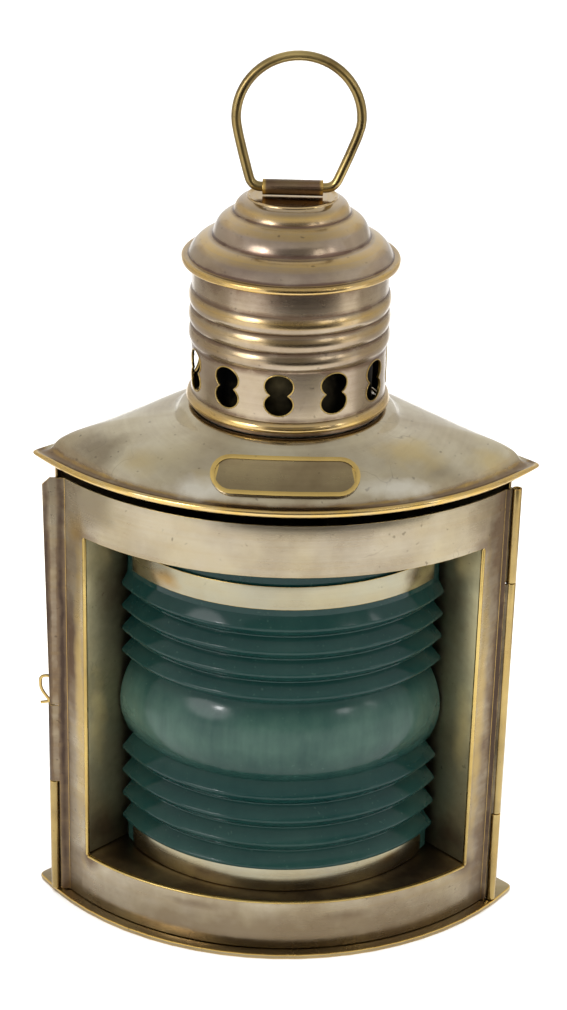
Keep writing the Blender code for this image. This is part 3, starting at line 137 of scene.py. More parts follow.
# The camera stands close in front and looks down on the lamp, tipped a little to one side.
CAMERA_PLACE = (0.0024, -0.6463, 0.4107)
LOOK_DOWN, LOOK_ASIDE, TIPPED = 24.02, -0.25, -1.4    # degrees
FILM = 36                       # millimetres
FOCUS, FRAME = 2481, 1010       # the lens's distance and the frame's long side, in pixels
camera_data = bpy.data.cameras.new("camera")
camera_data.sensor_width = FILM
camera_data.lens = FILM * FOCUS / FRAME
camera_data.clip_start = 0.05
camera = bpy.data.objects.new("camera", camera_data)
bpy.context.scene.collection.objects.link(camera)
pitch, yaw, roll = math.radians(LOOK_DOWN), math.radians(LOOK_ASIDE), math.radians(TIPPED)
forward = Vector((math.sin(yaw) * math.cos(pitch), math.cos(yaw) * math.cos(pitch), -math.sin(pitch)))
level_right = Vector((math.cos(yaw), -math.sin(yaw), 0))
down = forward.cross(level_right)
right = level_right * math.cos(roll) + down * math.sin(roll)
below = down * math.cos(roll) - level_right * math.sin(roll)
turned_view = Matrix((right, -below, -forward)).transposed().to_4x4()
camera.matrix_world = Matrix.Translation(CAMERA_PLACE) @ turned_view
bpy.context.scene.camera = camera
bpy.context.scene.view_settings.view_transform = "Standard"
bpy.context.scene.view_settings.look = "None"


# The base plate: brass sheet cut to the sector plan, with air holes under the burner. It is
# browned with age and worn back to yellow along its cut edge, where hands and cloths reach it.
TAUPE = linear(171, 160, 132)
BROWN = linear(112, 93, 74)
GOLD = linear(204, 169, 92)
DARK = linear(58, 46, 38)


def new_group(name, inputs, outputs):
    """An empty node group with named inputs and outputs."""
    group = bpy.data.node_groups.new(name, "ShaderNodeTree")
    for label, kind, value in inputs:
        socket = group.interface.new_socket(label, in_out="INPUT", socket_type=kind)
        if value is not None:
            socket.default_value = value
    for label, kind in outputs:
        group.interface.new_socket(label, in_out="OUTPUT", socket_type=kind)
    return group, group.nodes.new("NodeGroupInput"), group.nodes.new("NodeGroupOutput")


def add_node(tree, kind, links=(), **settings):
    """A node with its settings, its fixed inputs and its links."""
    node = tree.nodes.new(kind)
    for key, value in settings.items():
        setattr(node, key, value)
    for socket, source in links:
        target = node.inputs[socket]
        if hasattr(source, "is_output"):
            tree.links.new(source, target)
        else:
            target.default_value = source
    return node


def noise(tree, vector, scale, detail=4.0, roughness=0.55):
    """Cloudy noise at a scale in cells a metre."""
    return add_node(tree, "ShaderNodeTexNoise", [("Vector", vector), ("Scale", scale), ("Detail", detail),
                                                 ("Roughness", roughness)]).outputs[0]


def remap(tree, value, low, high, start=0.0, end=1.0):
    """Stretch a value from one range to another and clamp it."""
    return add_node(tree, "ShaderNodeMapRange", [("Value", value), ("From Min", low), ("From Max", high),
                                                 ("To Min", start), ("To Max", end)]).outputs[0]


def sums(tree, operation, first, second, third=None, clamp=False):
    """One sum, such as ADD or MULTIPLY, on numbers or sockets."""
    given = [(i, v) for i, v in enumerate((first, second, third)) if v is not None]
    return add_node(tree, "ShaderNodeMath", given, operation=operation, use_clamp=clamp).outputs[0]


def blended(tree, share, first, second):
    """One colour laid over another by a share."""
    return add_node(tree, "ShaderNodeMix", [(0, share), (6, first), (7, second)], data_type="RGBA").outputs[2]


# Aged brass: fine brushing, cloudy browning, thin scratches, small dark spots and rubbed yellow
# metal. Its sizes are in cells a metre.
aged, a_in, a_out = new_group(
    "aged_brass",
    [("Vector", "NodeSocketVector", None), ("Grain", "NodeSocketVector", None),
     ("Brushing", "NodeSocketVector", (9, 9, 1100)),
     ("Base", "NodeSocketColor", (*TAUPE, 1)), ("Browned", "NodeSocketColor", (*BROWN, 1)),
     ("Rubbed", "NodeSocketColor", (*GOLD, 1)), ("Age", "NodeSocketFloat", 0.5),
     ("Brown", "NodeSocketFloat", 0.0), ("Wear", "NodeSocketFloat", 0.0),
     ("Scratches", "NodeSocketFloat", 0.3),
     ("Smooth", "NodeSocketFloat", 0.22), ("Dull", "NodeSocketFloat", 0.42)],
    [("Color", "NodeSocketColor"), ("Roughness", "NodeSocketFloat"), ("Height", "NodeSocketFloat")])
spot = a_in.outputs["Vector"]
along = add_node(aged, "ShaderNodeVectorMath", [(0, a_in.outputs["Grain"]), (1, a_in.outputs["Brushing"])],
                 operation="MULTIPLY")
brushing = noise(aged, along.outputs[0], 1.0, 3.0, 0.7)
lines = remap(aged, brushing, 0.3, 0.7, -1.0, 1.0)
clouds = noise(aged, spot, 34.0, 5.0, 0.6)
patches = remap(aged, clouds, 0.40, 0.72)
mottle = noise(aged, spot, 170.0, 4.0, 0.6)
tarnish = sums(aged, "MULTIPLY", patches, a_in.outputs["Age"])
uneven = remap(aged, mottle, 0.3, 0.7, 0.65, 1.3)
extra = sums(aged, "MULTIPLY", a_in.outputs["Brown"], uneven)
tarnish = sums(aged, "ADD", tarnish, extra)
tarnish = sums(aged, "MULTIPLY_ADD", lines, 0.07, tarnish, True)
warm = blended(aged, remap(aged, noise(aged, spot, 60.0, 3.0), 0.35, 0.65, 0.0, 0.35), a_in.outputs["Base"],
               (*linear(168, 152, 108), 1))
colour = blended(aged, tarnish, warm, a_in.outputs["Browned"])
rub = sums(aged, "MULTIPLY_ADD", lines, 0.22, a_in.outputs["Wear"])
rub = sums(aged, "MULTIPLY_ADD", remap(aged, mottle, 0.3, 0.7, -0.3, 0.2), a_in.outputs["Wear"], rub, True)
rub = sums(aged, "MULTIPLY", rub, remap(aged, a_in.outputs["Wear"], 0.0, 0.12))
colour = blended(aged, rub, colour, a_in.outputs["Rubbed"])
# A scratch is the narrow line where smooth noise crosses its middle, kept in a few places only
crossing = sums(aged, "ABSOLUTE", remap(aged, noise(aged, spot, 95.0, 1.5), 0.0, 1.0, -0.5, 0.5), None)
scratch = remap(aged, crossing, 0.006, 0.0)
scratch = sums(aged, "MULTIPLY", scratch, remap(aged, noise(aged, spot, 38.0, 1.0), 0.62, 0.72))
scratch = sums(aged, "MULTIPLY", scratch, a_in.outputs["Scratches"])
specks = remap(aged, noise(aged, spot, 620.0, 1.0), 0.72, 0.78, 0.0, 0.45)
colour = blended(aged, sums(aged, "MAXIMUM", scratch, specks), colour, (*DARK, 1))
aged.links.new(colour, a_out.inputs["Color"])
gloss = add_node(aged, "ShaderNodeMapRange", [("Value", tarnish), ("To Min", a_in.outputs["Smooth"]),
                                              ("To Max", a_in.outputs["Dull"])]).outputs[0]
aged.links.new(sums(aged, "MULTIPLY_ADD", lines, 0.03, gloss), a_out.inputs["Roughness"])
aged.links.new(brushing, a_out.inputs["Height"])

BOW_CENTRE = (0, 36.97 * MM, 0)    # the upright axis that the front is bowed round


def bands_along(tree, place, axis, stops):
    """A number that follows (millimetres, value) stops along axis 0, 1 or 2, or out from the bow's centre."""
    low, high = stops[0][0], stops[-1][0]
    if axis == "bow":
        away = add_node(tree, "ShaderNodeVectorMath", [(0, place), (1, BOW_CENTRE)], operation="SUBTRACT")
        level = add_node(tree, "ShaderNodeVectorMath", [(0, away.outputs[0]), (1, (1, 1, 0))],
                         operation="MULTIPLY")
        part = add_node(tree, "ShaderNodeVectorMath", [(0, level.outputs[0])],
                        operation="LENGTH").outputs["Value"]
    else:
        part = add_node(tree, "ShaderNodeSeparateXYZ", [(0, place)]).outputs[axis]
    ramp = add_node(tree, "ShaderNodeValToRGB", [(0, remap(tree, part, low * MM, high * MM))])
    marks = ramp.color_ramp.elements
    marks.remove(marks[1])
    marks[0].position = 0.0
    marks[0].color = (stops[0][1],) * 3 + (1,)
    for distance, value in stops[1:]:
        marks.new((distance - low) / (high - low)).color = (value,) * 3 + (1,)
    return ramp.outputs[0]


def stained(tree, place, colour, stains):
    """Soft-edged stains, each (centre, reach, colour, strength) in millimetres, over a colour."""
    ragged = add_node(tree, "ShaderNodeTexNoise", [("Vector", place), ("Scale", 150.0), ("Detail", 4.0)])
    shaken = add_node(tree, "ShaderNodeVectorMath", [(0, ragged.outputs["Color"]), (1, (1.3, 1.3, 1.3)),
                                                     (2, (-0.65, -0.65, -0.65))], operation="MULTIPLY_ADD")
    for centre, reach, stain, strength in stains:
        middle = tuple(-c * MM for c in centre)
        away = add_node(tree, "ShaderNodeVectorMath", [(0, place), (1, middle)], operation="ADD").outputs[0]
        share = tuple(1 / (r * MM) for r in reach)
        near = add_node(tree, "ShaderNodeVectorMath", [(0, away), (1, share), (2, shaken.outputs[0])],
                        operation="MULTIPLY_ADD").outputs[0]
        size = add_node(tree, "ShaderNodeVectorMath", [(0, near)], operation="LENGTH").outputs["Value"]
        colour = blended(tree, remap(tree, size, 1.1, 0.3, 0.0, strength), colour, (*stain, 1))
    return colour


def brass_material(name, brushed=(9, 9, 1100), base=TAUPE, browned=BROWN, rubbed=GOLD, age=0.5, brown=None,
                   wear=0.0, scratches=0.3, smooth=0.22, dull=0.42, bump=0.02, stains=(), turned=False):
    """Aged brass; brown and wear may be (axis, stops), and turned work is brushed round the upright axis."""
    made = bpy.data.materials.new(name)
    made.use_nodes = True
    tree = made.node_tree
    shader = tree.nodes["Principled BSDF"]
    shader.inputs["Metallic"].default_value = 1.0
    place = add_node(tree, "ShaderNodeTexCoord").outputs["Object"]
    finish = add_node(tree, "ShaderNodeGroup", node_tree=aged)
    tree.links.new(place, finish.inputs["Vector"])
    grain = place
    if turned:
        parts = add_node(tree, "ShaderNodeSeparateXYZ", [(0, place)])
        flat = add_node(tree, "ShaderNodeCombineXYZ", [(0, parts.outputs[0]),
                                                       (1, parts.outputs[1])]).outputs[0]
        out = add_node(tree, "ShaderNodeVectorMath", [(0, flat)], operation="LENGTH").outputs["Value"]
        grain = add_node(tree, "ShaderNodeCombineXYZ", [(0, out), (2, parts.outputs[2])]).outputs[0]
    tree.links.new(grain, finish.inputs["Grain"])
    for label, value in (("Base", base), ("Browned", browned), ("Rubbed", rubbed)):
        finish.inputs[label].default_value = (*value, 1)
    for label, value in (("Brushing", brushed), ("Age", age), ("Scratches", scratches), ("Smooth", smooth),
                         ("Dull", dull)):
        finish.inputs[label].default_value = value
    for label, value in (("Brown", brown), ("Wear", wear)):
        if isinstance(value, tuple):
            tree.links.new(bands_along(tree, place, *value), finish.inputs[label])
        elif value is not None:
            finish.inputs[label].default_value = value
    colour = finish.outputs["Color"]
    if stains:
        colour = stained(tree, place, colour, stains)
    tree.links.new(colour, shader.inputs["Base Color"])
    tree.links.new(finish.outputs["Roughness"], shader.inputs["Roughness"])
    relief = add_node(tree, "ShaderNodeBump", [("Height", finish.outputs["Height"]), ("Strength", bump),
                                               ("Distance", 0.0004)])
    tree.links.new(relief.outputs[0], shader.inputs["Normal"])
    return made


def selected_alone(piece):
    """Make one object the only selected and the active one."""
    bpy.ops.object.select_all(action="DESELECT")
    bpy.context.view_layer.objects.active = piece
    piece.select_set(True)


def rounded_edges(piece, width, angle):
    """Bevel the sharp edges; the new faces take the second material."""
    rounding = piece.modifiers.new("rounded_edges", "BEVEL")
    rounding.width = width
    rounding.segments = 2
    rounding.limit_method = "ANGLE"
    rounding.angle_limit = math.radians(angle)
    rounding.material = 1
    rounding.use_clamp_overlap = True
    selected_alone(piece)
    bpy.ops.object.modifier_apply(modifier="rounded_edges")


def ride_as(piece, node, body):
    """The piece stands for a node and moves with its body."""
    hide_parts(node)
    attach(piece, body)


TOUCHING = 0.01 * MM            # corners nearer than this are one corner
FLAT = math.radians(0.6)        # facets that turn less than this are one face


def finished_copy(node, body, materials, edge=0.18, angle=35, levels=0):
    """A copy of a solid with its facets joined, and its edges rounded by so many millimetres or its form
    smoothed by subdivision."""
    made = bpy.data.objects.new(node + "_finished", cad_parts[node].data.copy())
    bpy.context.scene.collection.objects.link(made)
    made.data.materials.clear()
    for one in materials if len(materials) > 1 else materials * 2:
        made.data.materials.append(one)
    bm = bmesh.new()
    bm.from_mesh(made.data)
    bmesh.ops.remove_doubles(bm, verts=bm.verts, dist=TOUCHING)
    if levels:
        bmesh.ops.join_triangles(bm, faces=bm.faces, angle_face_threshold=math.pi,
                                 angle_shape_threshold=math.pi)
    else:
        bmesh.ops.dissolve_limit(bm, angle_limit=FLAT, verts=bm.verts, edges=bm.edges)
    for face in bm.faces:
        face.material_index = 0
        face.smooth = True
    bm.to_mesh(made.data)
    bm.free()
    selected_alone(made)
    if made.data.has_custom_normals:
        bpy.ops.mesh.customdata_custom_splitnormals_clear()
    if levels:
        made.modifiers.new("form", "SUBSURF").levels = levels
        made.modifiers["form"].render_levels = levels
        bpy.ops.object.modifier_apply(modifier="form")
    if edge:
        rounded_edges(made, edge * MM, angle)
    bpy.ops.object.shade_smooth_by_angle(angle=math.radians(angle))
    ride_as(made, node, body)
    return made


# Cut and folded edges shine through yellow on every piece.
yellow_edge = brass_material("rubbed_edge", brushed=(300, 300, 300), base=GOLD, browned=linear(150, 118, 66),
                             age=0.55, wear=0.25)
base_brass = brass_material("base_plate_brass", brushed=(14, 14, 14), base=linear(158, 143, 112), age=0.75,
                            wear=0.06)
finished_copy("base_plate", "casing", [base_brass, yellow_edge], edge=0.35)

# The rear casing: one brass sheet folded to two flat walls at a right angle, with narrow front
# flanges. It is browner and more scratched than the front, because it isn't polished.
WALL_BROWN = [(0, 0.7), (9, 0.25), (60, 0.05), (125, 0.15), (142, 0.6)]    # browner at foot and head
wall_brass = brass_material("wall_brass", brushed=(9, 9, 900), base=linear(160, 148, 122), age=0.8,
                            brown=(2, WALL_BROWN), scratches=0.6, smooth=0.26, dull=0.45)
finished_copy("rear_casing", "casing", [wall_brass, yellow_edge], edge=0.15)

# The curb: a low rail of bent sheet brass, soldered on the base plate behind the foot of the
# door, which closes against it. It is dark, because it is never rubbed.
shade_brass = brass_material("shaded_brass", brushed=(12, 12, 700), base=linear(126, 108, 84),
                             browned=linear(70, 56, 44), age=0.9, brown=0.2, wear=0.02, smooth=0.32, dull=0.5)
finished_copy("base_curb", "casing", [shade_brass, yellow_edge], edge=0.12)

# The fount ring: a low ring bent from the same dark sheet. It is soldered on the base plate,
# and the fount stands in it.
finished_copy("fount_ring", "casing", [shade_brass, yellow_edge], edge=0.12)

# The hinge: three drawn brass tubes, two soldered to the casing's flange and one between them
# to the door's leaf, and one pin through all three. The solder lies dull and uneven.
tube_brass = brass_material("tube_brass", brushed=(500, 500, 30), base=linear(172, 150, 98),
                            browned=linear(104, 84, 56), age=0.8, wear=0.15, smooth=0.2, dull=0.36)
for tube_name, owner in (("hinge_tube_lower", "casing"), ("hinge_tube_upper", "casing"),
                         ("door_hinge_tube", "door")):
    finished_copy(tube_name, owner, [tube_brass, yellow_edge], edge=0.12)
pin_brass = brass_material("pin_brass", brushed=(400, 400, 60), base=linear(132, 108, 66),
                           browned=linear(72, 56, 38), age=0.8, brown=0.2, wear=0.05, scratches=0.2,
                           smooth=0.28, dull=0.45)
finished_copy("hinge_pin", "casing", [pin_brass, yellow_edge], edge=0.1)
solder = brass_material("old_solder", brushed=(260, 260, 260), base=linear(112, 100, 84),
                        browned=linear(52, 44, 36), age=1.0, brown=0.25, scratches=0.0, smooth=0.4, dull=0.6,
                        bump=0.25)
# Where the solder lies, in millimetres: left, right, front and back
CASING_CORNER = (62.4, 63.5, -14.1, -12.9)
DOOR_CORNER = (62.4, 63.8, -15.0, -14.2)
RUN, END_RUN = 1.6, 0.04        # one short length, and the last ones
SWELLING, BEAT = 0.16, 2.4      # how much and how often it thickens


def solder_seam(name, body, left, right, front, back, bottom, top):
    """An uneven run of solder, drawn up in short lengths and then smoothed."""
    bpy.ops.mesh.primitive_plane_add(size=1)
    seam = bpy.context.object
    seam.name = name
    seam.data.materials.append(solder)
    bpy.ops.object.mode_set(mode="EDIT")
    bpy.ops.mesh.select_all(action="SELECT")
    bpy.ops.transform.resize(value=((right - left) * MM, (back - front) * MM, 1))
    bpy.ops.transform.translate(value=((left + right) / 2 * MM, (front + back) / 2 * MM, bottom * MM))
    steps = max(6, round((top - bottom) / RUN))
    runs = [END_RUN] + [(top - bottom - 2 * END_RUN) / steps] * steps + [END_RUN]
    for i, length in enumerate(runs):
        swelling = 1 + SWELLING * math.sin(i * BEAT)
        bpy.ops.mesh.extrude_region_move(TRANSFORM_OT_translate={"value": (0, 0, length * MM)})
        bpy.ops.transform.resize(value=(1, swelling if i % 2 else 1 / swelling, 1))
    bpy.ops.mesh.select_all(action="SELECT")
    bpy.ops.mesh.normals_make_consistent(inside=False)
    bpy.ops.object.mode_set(mode="OBJECT")
    seam.modifiers.new("form", "SUBSURF").levels = 1
    bpy.ops.object.modifier_apply(modifier="form")
    bpy.ops.object.shade_smooth()
    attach(seam, body)


solder_seam("seam_hinge_lower", "casing", *CASING_CORNER, 1.9, 31.1)
solder_seam("seam_hinge_upper", "casing", *CASING_CORNER, 106.61, 135.7)
solder_seam("seam_hinge_door", "door", *DOOR_CORNER, 31.6, 106.59)

# The latch tube: a short drawn brass tube, soldered to the casing's left flange, that holds
# the foot of the latch pin.
LATCH_CORNER = (-64.6, -63.8, -14.1, -12.9)
finished_copy("latch_tube", "casing", [tube_brass, yellow_edge], edge=0.12)
solder_seam("seam_latch", "casing", *LATCH_CORNER, 1.9, 38.3)

# The latch pin: drawn brass wire, bent to a finger loop at its head. It drops through the
# door's rolled edge into the latch tube and keeps the door shut.
wire_brass = brass_material("wire_brass", brushed=(60, 60, 400), base=linear(196, 170, 104),
                            browned=linear(126, 98, 58), age=0.6, wear=0.2, scratches=0.2, smooth=0.2,
                            dull=0.36)
finished_copy("latch_pin", "latch_pin", [wire_brass], edge=0)

# The door: bowed brass sheet with the window cut out, its leaf at the hinge and its strip
# with the rolled edge at the latch. It is brushed along the bow and browned at the edges, and
# painted shade darkens its foot and lies in bands along the latch strip and beside the hinge fold.
UMBER = linear(84, 64, 48)
FOLD_SHADE, EDGE_YELLOW = linear(64, 52, 45), linear(172, 146, 86)
# Browning across the door by x: browned edges, with painted shade in the dark-light-dark bands over the latch
# strip and beside the hinge fold
DOOR_BROWN_AND_SHADE = [(-68, 0.5), (-67.2, 1.0), (-66.2, 1.0), (-65.6, 0.5), (-64.2, 0.5), (-63.6, 1.0), (-61.6, 1.0),
              (-60.8, 0.4), (-55, 0.05), (50, 0.0), (57, 0.3), (60.4, 0.8), (62.8, 1.0)]
door_stains_and_shade = [
    # Painted shade: the foot of the door darkened
    ((0, -40, 6), (90, 40, 13), linear(118, 101, 78), 0.75),
    # Painted shade: dark runs down the latch strip's folds and beside the hinge fold
    ((-62.7, -14.7, 70), (1.2, 6, 95), FOLD_SHADE, 0.95),
    ((-67.0, -14.7, 90), (1.3, 6, 75), FOLD_SHADE, 0.9),
    ((62.0, -14.7, 70), (1.5, 6, 95), FOLD_SHADE, 0.9),
    ((-60, -18, 84), (2.2, 8, 22), UMBER, 0.85),
    ((-55, -21, 17), (5, 8, 3.5), UMBER, 0.8), ((55, -21, 17), (5, 8, 3), UMBER, 0.7),
    ((-55, -21, 121), (4, 8, 2.5), UMBER, 0.5), ((55, -21, 121), (4, 8, 2.5), UMBER, 0.5),
    ((-57.3, -19.5, 69), (1.9, 6, 52), EDGE_YELLOW, 0.7),
    ((57.2, -19.5, 69), (1.7, 6, 52), EDGE_YELLOW, 0.6),
    ((-58, -18, 122), (4, 7, 5), linear(150, 122, 72), 0.6),
    ((20, -42, 12), (9, 6, 2.2), UMBER, 0.4), ((-24, -40, 14), (12, 6, 1.6), UMBER, 0.4)]
door_brass = brass_material("door_brass", brushed=(9, 9, 620), base=linear(166, 156, 136),
                            browned=linear(106, 89, 71), age=0.6, brown=(0, DOOR_BROWN_AND_SHADE), wear=0.03,
                            scratches=0.5, smooth=0.2, dull=0.4, stains=door_stains_and_shade)
finished_copy("door_panel", "door", [door_brass, yellow_edge], edge=0.14)

# The window's sides: the door's own sheet, turned out there to a thin round edge that cloths
# have rubbed yellow.
bead_brass = brass_material("bead_brass", brushed=(300, 300, 40), base=linear(196, 172, 106),
                            browned=linear(118, 96, 60), age=0.8, wear=0.25, scratches=0.0, dull=0.4,
                            bump=0.05)
EDGE_RADIUS, EDGE_X, EDGE_Y, EDGE_FOOT = 0.62, 55.55, -20.84, 17.3
# Each length upwards in millimetres, and how much the edge swells over it
EDGE_RUNS = ((0.5, 2.0), (34, 1.08), (34, 0.94), (34, 0.98), (0.6, 0.5))
for side, name in ((1, "window_edge_right"), (-1, "window_edge_left")):
    bpy.ops.mesh.primitive_circle_add(vertices=16, radius=EDGE_RADIUS * MM, fill_type="NGON")
    bead = bpy.context.object
    bead.name = name
    bead.data.materials.append(bead_brass)
    bpy.ops.object.mode_set(mode="EDIT")
    bpy.ops.mesh.select_all(action="SELECT")
    bpy.ops.transform.translate(value=(side * EDGE_X * MM, EDGE_Y * MM, EDGE_FOOT * MM))
    bpy.ops.transform.resize(value=(0.5, 0.5, 1))
    for rise, spread in EDGE_RUNS:
        bpy.ops.mesh.extrude_region_move(TRANSFORM_OT_translate={"value": (0, 0, rise * MM)})
        bpy.ops.transform.resize(value=(spread, spread, 1))
    bpy.ops.mesh.select_all(action="SELECT")
    bpy.ops.mesh.normals_make_consistent(inside=False)
    bpy.ops.object.mode_set(mode="OBJECT")
    bpy.ops.object.shade_smooth_by_angle(angle=math.radians(50))
    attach(bead, "door")

# The window's lower edge: the same sheet, rolled a little along the bow and rubbed by the
# cloths that clean the sill.
LOWER_BOW, LOWER_Z, LOWER_ROLL = 80.3, 17.15, 0.38
LOWER_SPAN = 43.5               # half of the bow's turn, in degrees
SEAM_WIDTH = 0.002 * MM         # where a full sweep's end meets its start


def spun(name, profile, materials, steps, turn=2 * math.pi, start=0.0, centre_y=0.0):
    """A closed profile of (radius, height) in millimetres, swept clockwise about an upright axis from a start
    that is turned away from the front."""
    mesh = bpy.data.meshes.new(name)
    begin = start - math.pi / 2
    places = [(r * MM * math.cos(begin), centre_y + r * MM * math.sin(begin), z * MM) for r, z in profile]
    count = len(places)
    ring = [(i, (i + 1) % count) for i in range(count)]
    mesh.from_pydata(places, ring, [])
    for one in materials:
        mesh.materials.append(one)
    made = bpy.data.objects.new(name, mesh)
    bpy.context.scene.collection.objects.link(made)
    selected_alone(made)
    bpy.ops.object.mode_set(mode="EDIT")
    bpy.ops.mesh.select_all(action="SELECT")
    bpy.ops.mesh.spin(steps=steps, angle=turn, center=(0, centre_y, 0), axis=(0, 0, 1))
    bpy.ops.mesh.select_all(action="SELECT")
    bpy.ops.mesh.remove_doubles(threshold=SEAM_WIDTH)
    bpy.ops.mesh.fill_holes(sides=0)
    bpy.ops.mesh.select_all(action="SELECT")
    bpy.ops.mesh.normals_make_consistent(inside=False)
    bpy.ops.object.mode_set(mode="OBJECT")
    return made


edge_ring = [(LOWER_BOW + LOWER_ROLL * math.cos(math.pi * i / 6),
              LOWER_Z + LOWER_ROLL * math.sin(math.pi * i / 6)) for i in range(12)]
lower_edge = spun("window_edge_lower", edge_ring, [bead_brass], steps=48, turn=math.radians(2 * LOWER_SPAN),
                  start=math.radians(LOWER_SPAN), centre_y=BOW_CENTRE[1])
bpy.ops.object.shade_smooth_by_angle(angle=math.radians(50))
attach(lower_edge, "door")

# The jambs: splayed plates at the window's sides, folded behind the door sheet. They are dull
# and mottled, with a greenish dark run of verdigris beside the lens.
GREEN_STAIN = linear(86, 86, 62)
for side, name in ((1, "jamb_right"), (-1, "jamb_left")):
    stains = [((side * 43.5, -9, 69), (3.0, 4.5, 62), GREEN_STAIN, 0.7),
              ((side * 50, -15, 24), (9, 9, 7), UMBER, 0.6), ((side * 48, -14, 100), (5, 6, 10), UMBER, 0.45),
              ((side * 52, -18, 60), (3, 5, 16), linear(206, 186, 128), 0.5)]
    jamb_brass = brass_material(name + "_brass", brushed=(60, 60, 26), base=linear(172, 166, 134),
                                browned=linear(112, 106, 78), age=1.0, smooth=0.36, dull=0.5, bump=0.05,
                                stains=stains)
    finished_copy(name, "door", [jamb_brass, yellow_edge], edge=0.12)

# The sill and the head plate: flat shelves cut from brass sheet, soldered to the door under
# and over the lens, which stands between them. Dust and oil have darkened them.
WIPED = linear(150, 132, 96)
shelf_stains = [((-30, -28, 17), (14, 8, 2), WIPED, 0.6), ((24, -32, 17), (10, 6, 2), WIPED, 0.6)]
shelf_brass = brass_material("shelf_brass", brushed=(20, 20, 400), base=linear(112, 96, 76),
                             browned=linear(62, 50, 40), age=1.0, brown=0.15, wear=0.05, scratches=0.4,
                             smooth=0.3, dull=0.48, bump=0.03, stains=shelf_stains)
for name in ("sill_plate", "head_plate"):
    finished_copy(name, "door", [shelf_brass, yellow_edge], edge=0.12)

# The two bands: thin bright strips of brass, sprung across the lens's plain foot and head to
# keep it on its shelves.
OCHRE = linear(142, 112, 62)
band_stains = [((-33, -25, 111), (6, 6, 3), OCHRE, 0.8), ((36, -22, 112), (4, 5, 3), UMBER, 0.5),
               ((-20, -34, 21), (8, 5, 2), UMBER, 0.4), ((33, -25, 22), (5, 5, 2), OCHRE, 0.6)]
band_brass = brass_material("band_brass", brushed=(9, 9, 700), base=linear(156, 152, 132),
                            browned=linear(120, 106, 84), age=0.45, wear=0.02, scratches=0.5, dull=0.36,
                            stains=band_stains)
for name in ("lower_band", "upper_band"):
    finished_copy(name, "door", [band_brass, yellow_edge], edge=0.1)

# The lens: green glass pressed in a mould, with a plain foot and head and four ribs below and
# above a plain bulge. It stands in the door between the shelves, held by the bands.
dim, d_in, d_out = new_group(
    "dusty_glass",
    [("Vector", "NodeSocketVector", None), ("Body", "NodeSocketColor", (0.02, 0.06, 0.05, 1)),
     ("Film", "NodeSocketColor", (0.1, 0.15, 0.1, 1)), ("Dust_and_sheen", "NodeSocketFloat", 0.3),
     ("Clean", "NodeSocketFloat", 0.05), ("Dim", "NodeSocketFloat", 0.3)],
    [("Color", "NodeSocketColor"), ("Roughness", "NodeSocketFloat"), ("Height", "NodeSocketFloat")])
glass_spot = d_in.outputs["Vector"]
wiped = add_node(dim, "ShaderNodeVectorMath", [(0, glass_spot), (1, (260, 260, 30))], operation="MULTIPLY")
smears = remap(dim, noise(dim, wiped.outputs[0], 1.0, 4.0), 0.35, 0.7)
film = remap(dim, noise(dim, glass_spot, 46.0, 5.0), 0.30, 0.70, 0.35, 1.2)
film = sums(dim, "MULTIPLY_ADD", smears, 0.35, film)
film = sums(dim, "MULTIPLY", film, d_in.outputs["Dust_and_sheen"], None, True)
grit = remap(dim, noise(dim, glass_spot, 900.0, 1.0), 0.70, 0.75, 0.0, 0.55)
grit = sums(dim, "MULTIPLY", grit, remap(dim, d_in.outputs["Dust_and_sheen"], 0.0, 0.3, 0.3, 1.0))
glass_colour = blended(dim, sums(dim, "MAXIMUM", film, grit), d_in.outputs["Body"], d_in.outputs["Film"])
dim.links.new(glass_colour, d_out.inputs["Color"])
glass_gloss = add_node(dim, "ShaderNodeMapRange", [("Value", film), ("To Min", d_in.outputs["Clean"]),
                                                   ("To Max", d_in.outputs["Dim"])]).outputs[0]
dim.links.new(glass_gloss, d_out.inputs["Roughness"])
dim.links.new(noise(dim, glass_spot, 300.0, 2.0), d_out.inputs["Height"])


def glass_material(name, body, film_colour, dust, clean, dull, clear, bump, shine=0.5):
    """Glass under a lighter film that follows (axis, stops): dust and soot, and on the lens partly painted
    reflection.
    """
    made = bpy.data.materials.new(name)
    made.use_nodes = True
    tree = made.node_tree
    shader = tree.nodes["Principled BSDF"]
    shader.inputs["Transmission Weight"].default_value = clear
    shader.inputs["Specular IOR Level"].default_value = shine
    place = add_node(tree, "ShaderNodeTexCoord").outputs["Object"]
    finish = add_node(tree, "ShaderNodeGroup", node_tree=dim)
    tree.links.new(place, finish.inputs["Vector"])
    finish.inputs["Body"].default_value = (*body, 1)
    finish.inputs["Film"].default_value = (*film_colour, 1)
    finish.inputs["Clean"].default_value = clean
    finish.inputs["Dim"].default_value = dull
    tree.links.new(bands_along(tree, place, *dust), finish.inputs["Dust_and_sheen"])
    tree.links.new(finish.outputs["Color"], shader.inputs["Base Color"])
    tree.links.new(finish.outputs["Roughness"], shader.inputs["Roughness"])
    relief = add_node(tree, "ShaderNodeBump", [("Height", finish.outputs["Height"]), ("Strength", bump),
                                               ("Distance", 0.0003)])
    tree.links.new(relief.outputs[0], shader.inputs["Normal"])
    return made


# Radii from the lens's own axis, and heights, in millimetres
RIM, CREST, VALLEY, BULGE, INNER = 50.1, 52.0, 48.7, 52.6, 45.5
LENS_BOTTOM, FOOT_TOP, HEAD_BOTTOM, LENS_TOP = 17.55, 24.8, 105.5, 120.15
LOWER_RIBS, UPPER_RIBS = (25.6, 33.3, 41.0, 48.7), (80.7, 87.8, 94.9, 102.0)
LOWER_VALLEY, UPPER_VALLEY, VALLEY_FLAT = 3.7, 3.4, 0.3    # a valley's start above its crest, and width
BULGE_BOTTOM, BULGE_HEIGHT, BULGE_STEPS, FULLNESS = 52.6, 24.6, 24, 0.8
UNDER_BULGE, OVER_BULGE = 52.45, 77.25    # where the plain valleys beside the bulge end
LENS_AXIS_Y, LENS_HALF_TURN = 13.5, 61.95    # millimetres, degrees


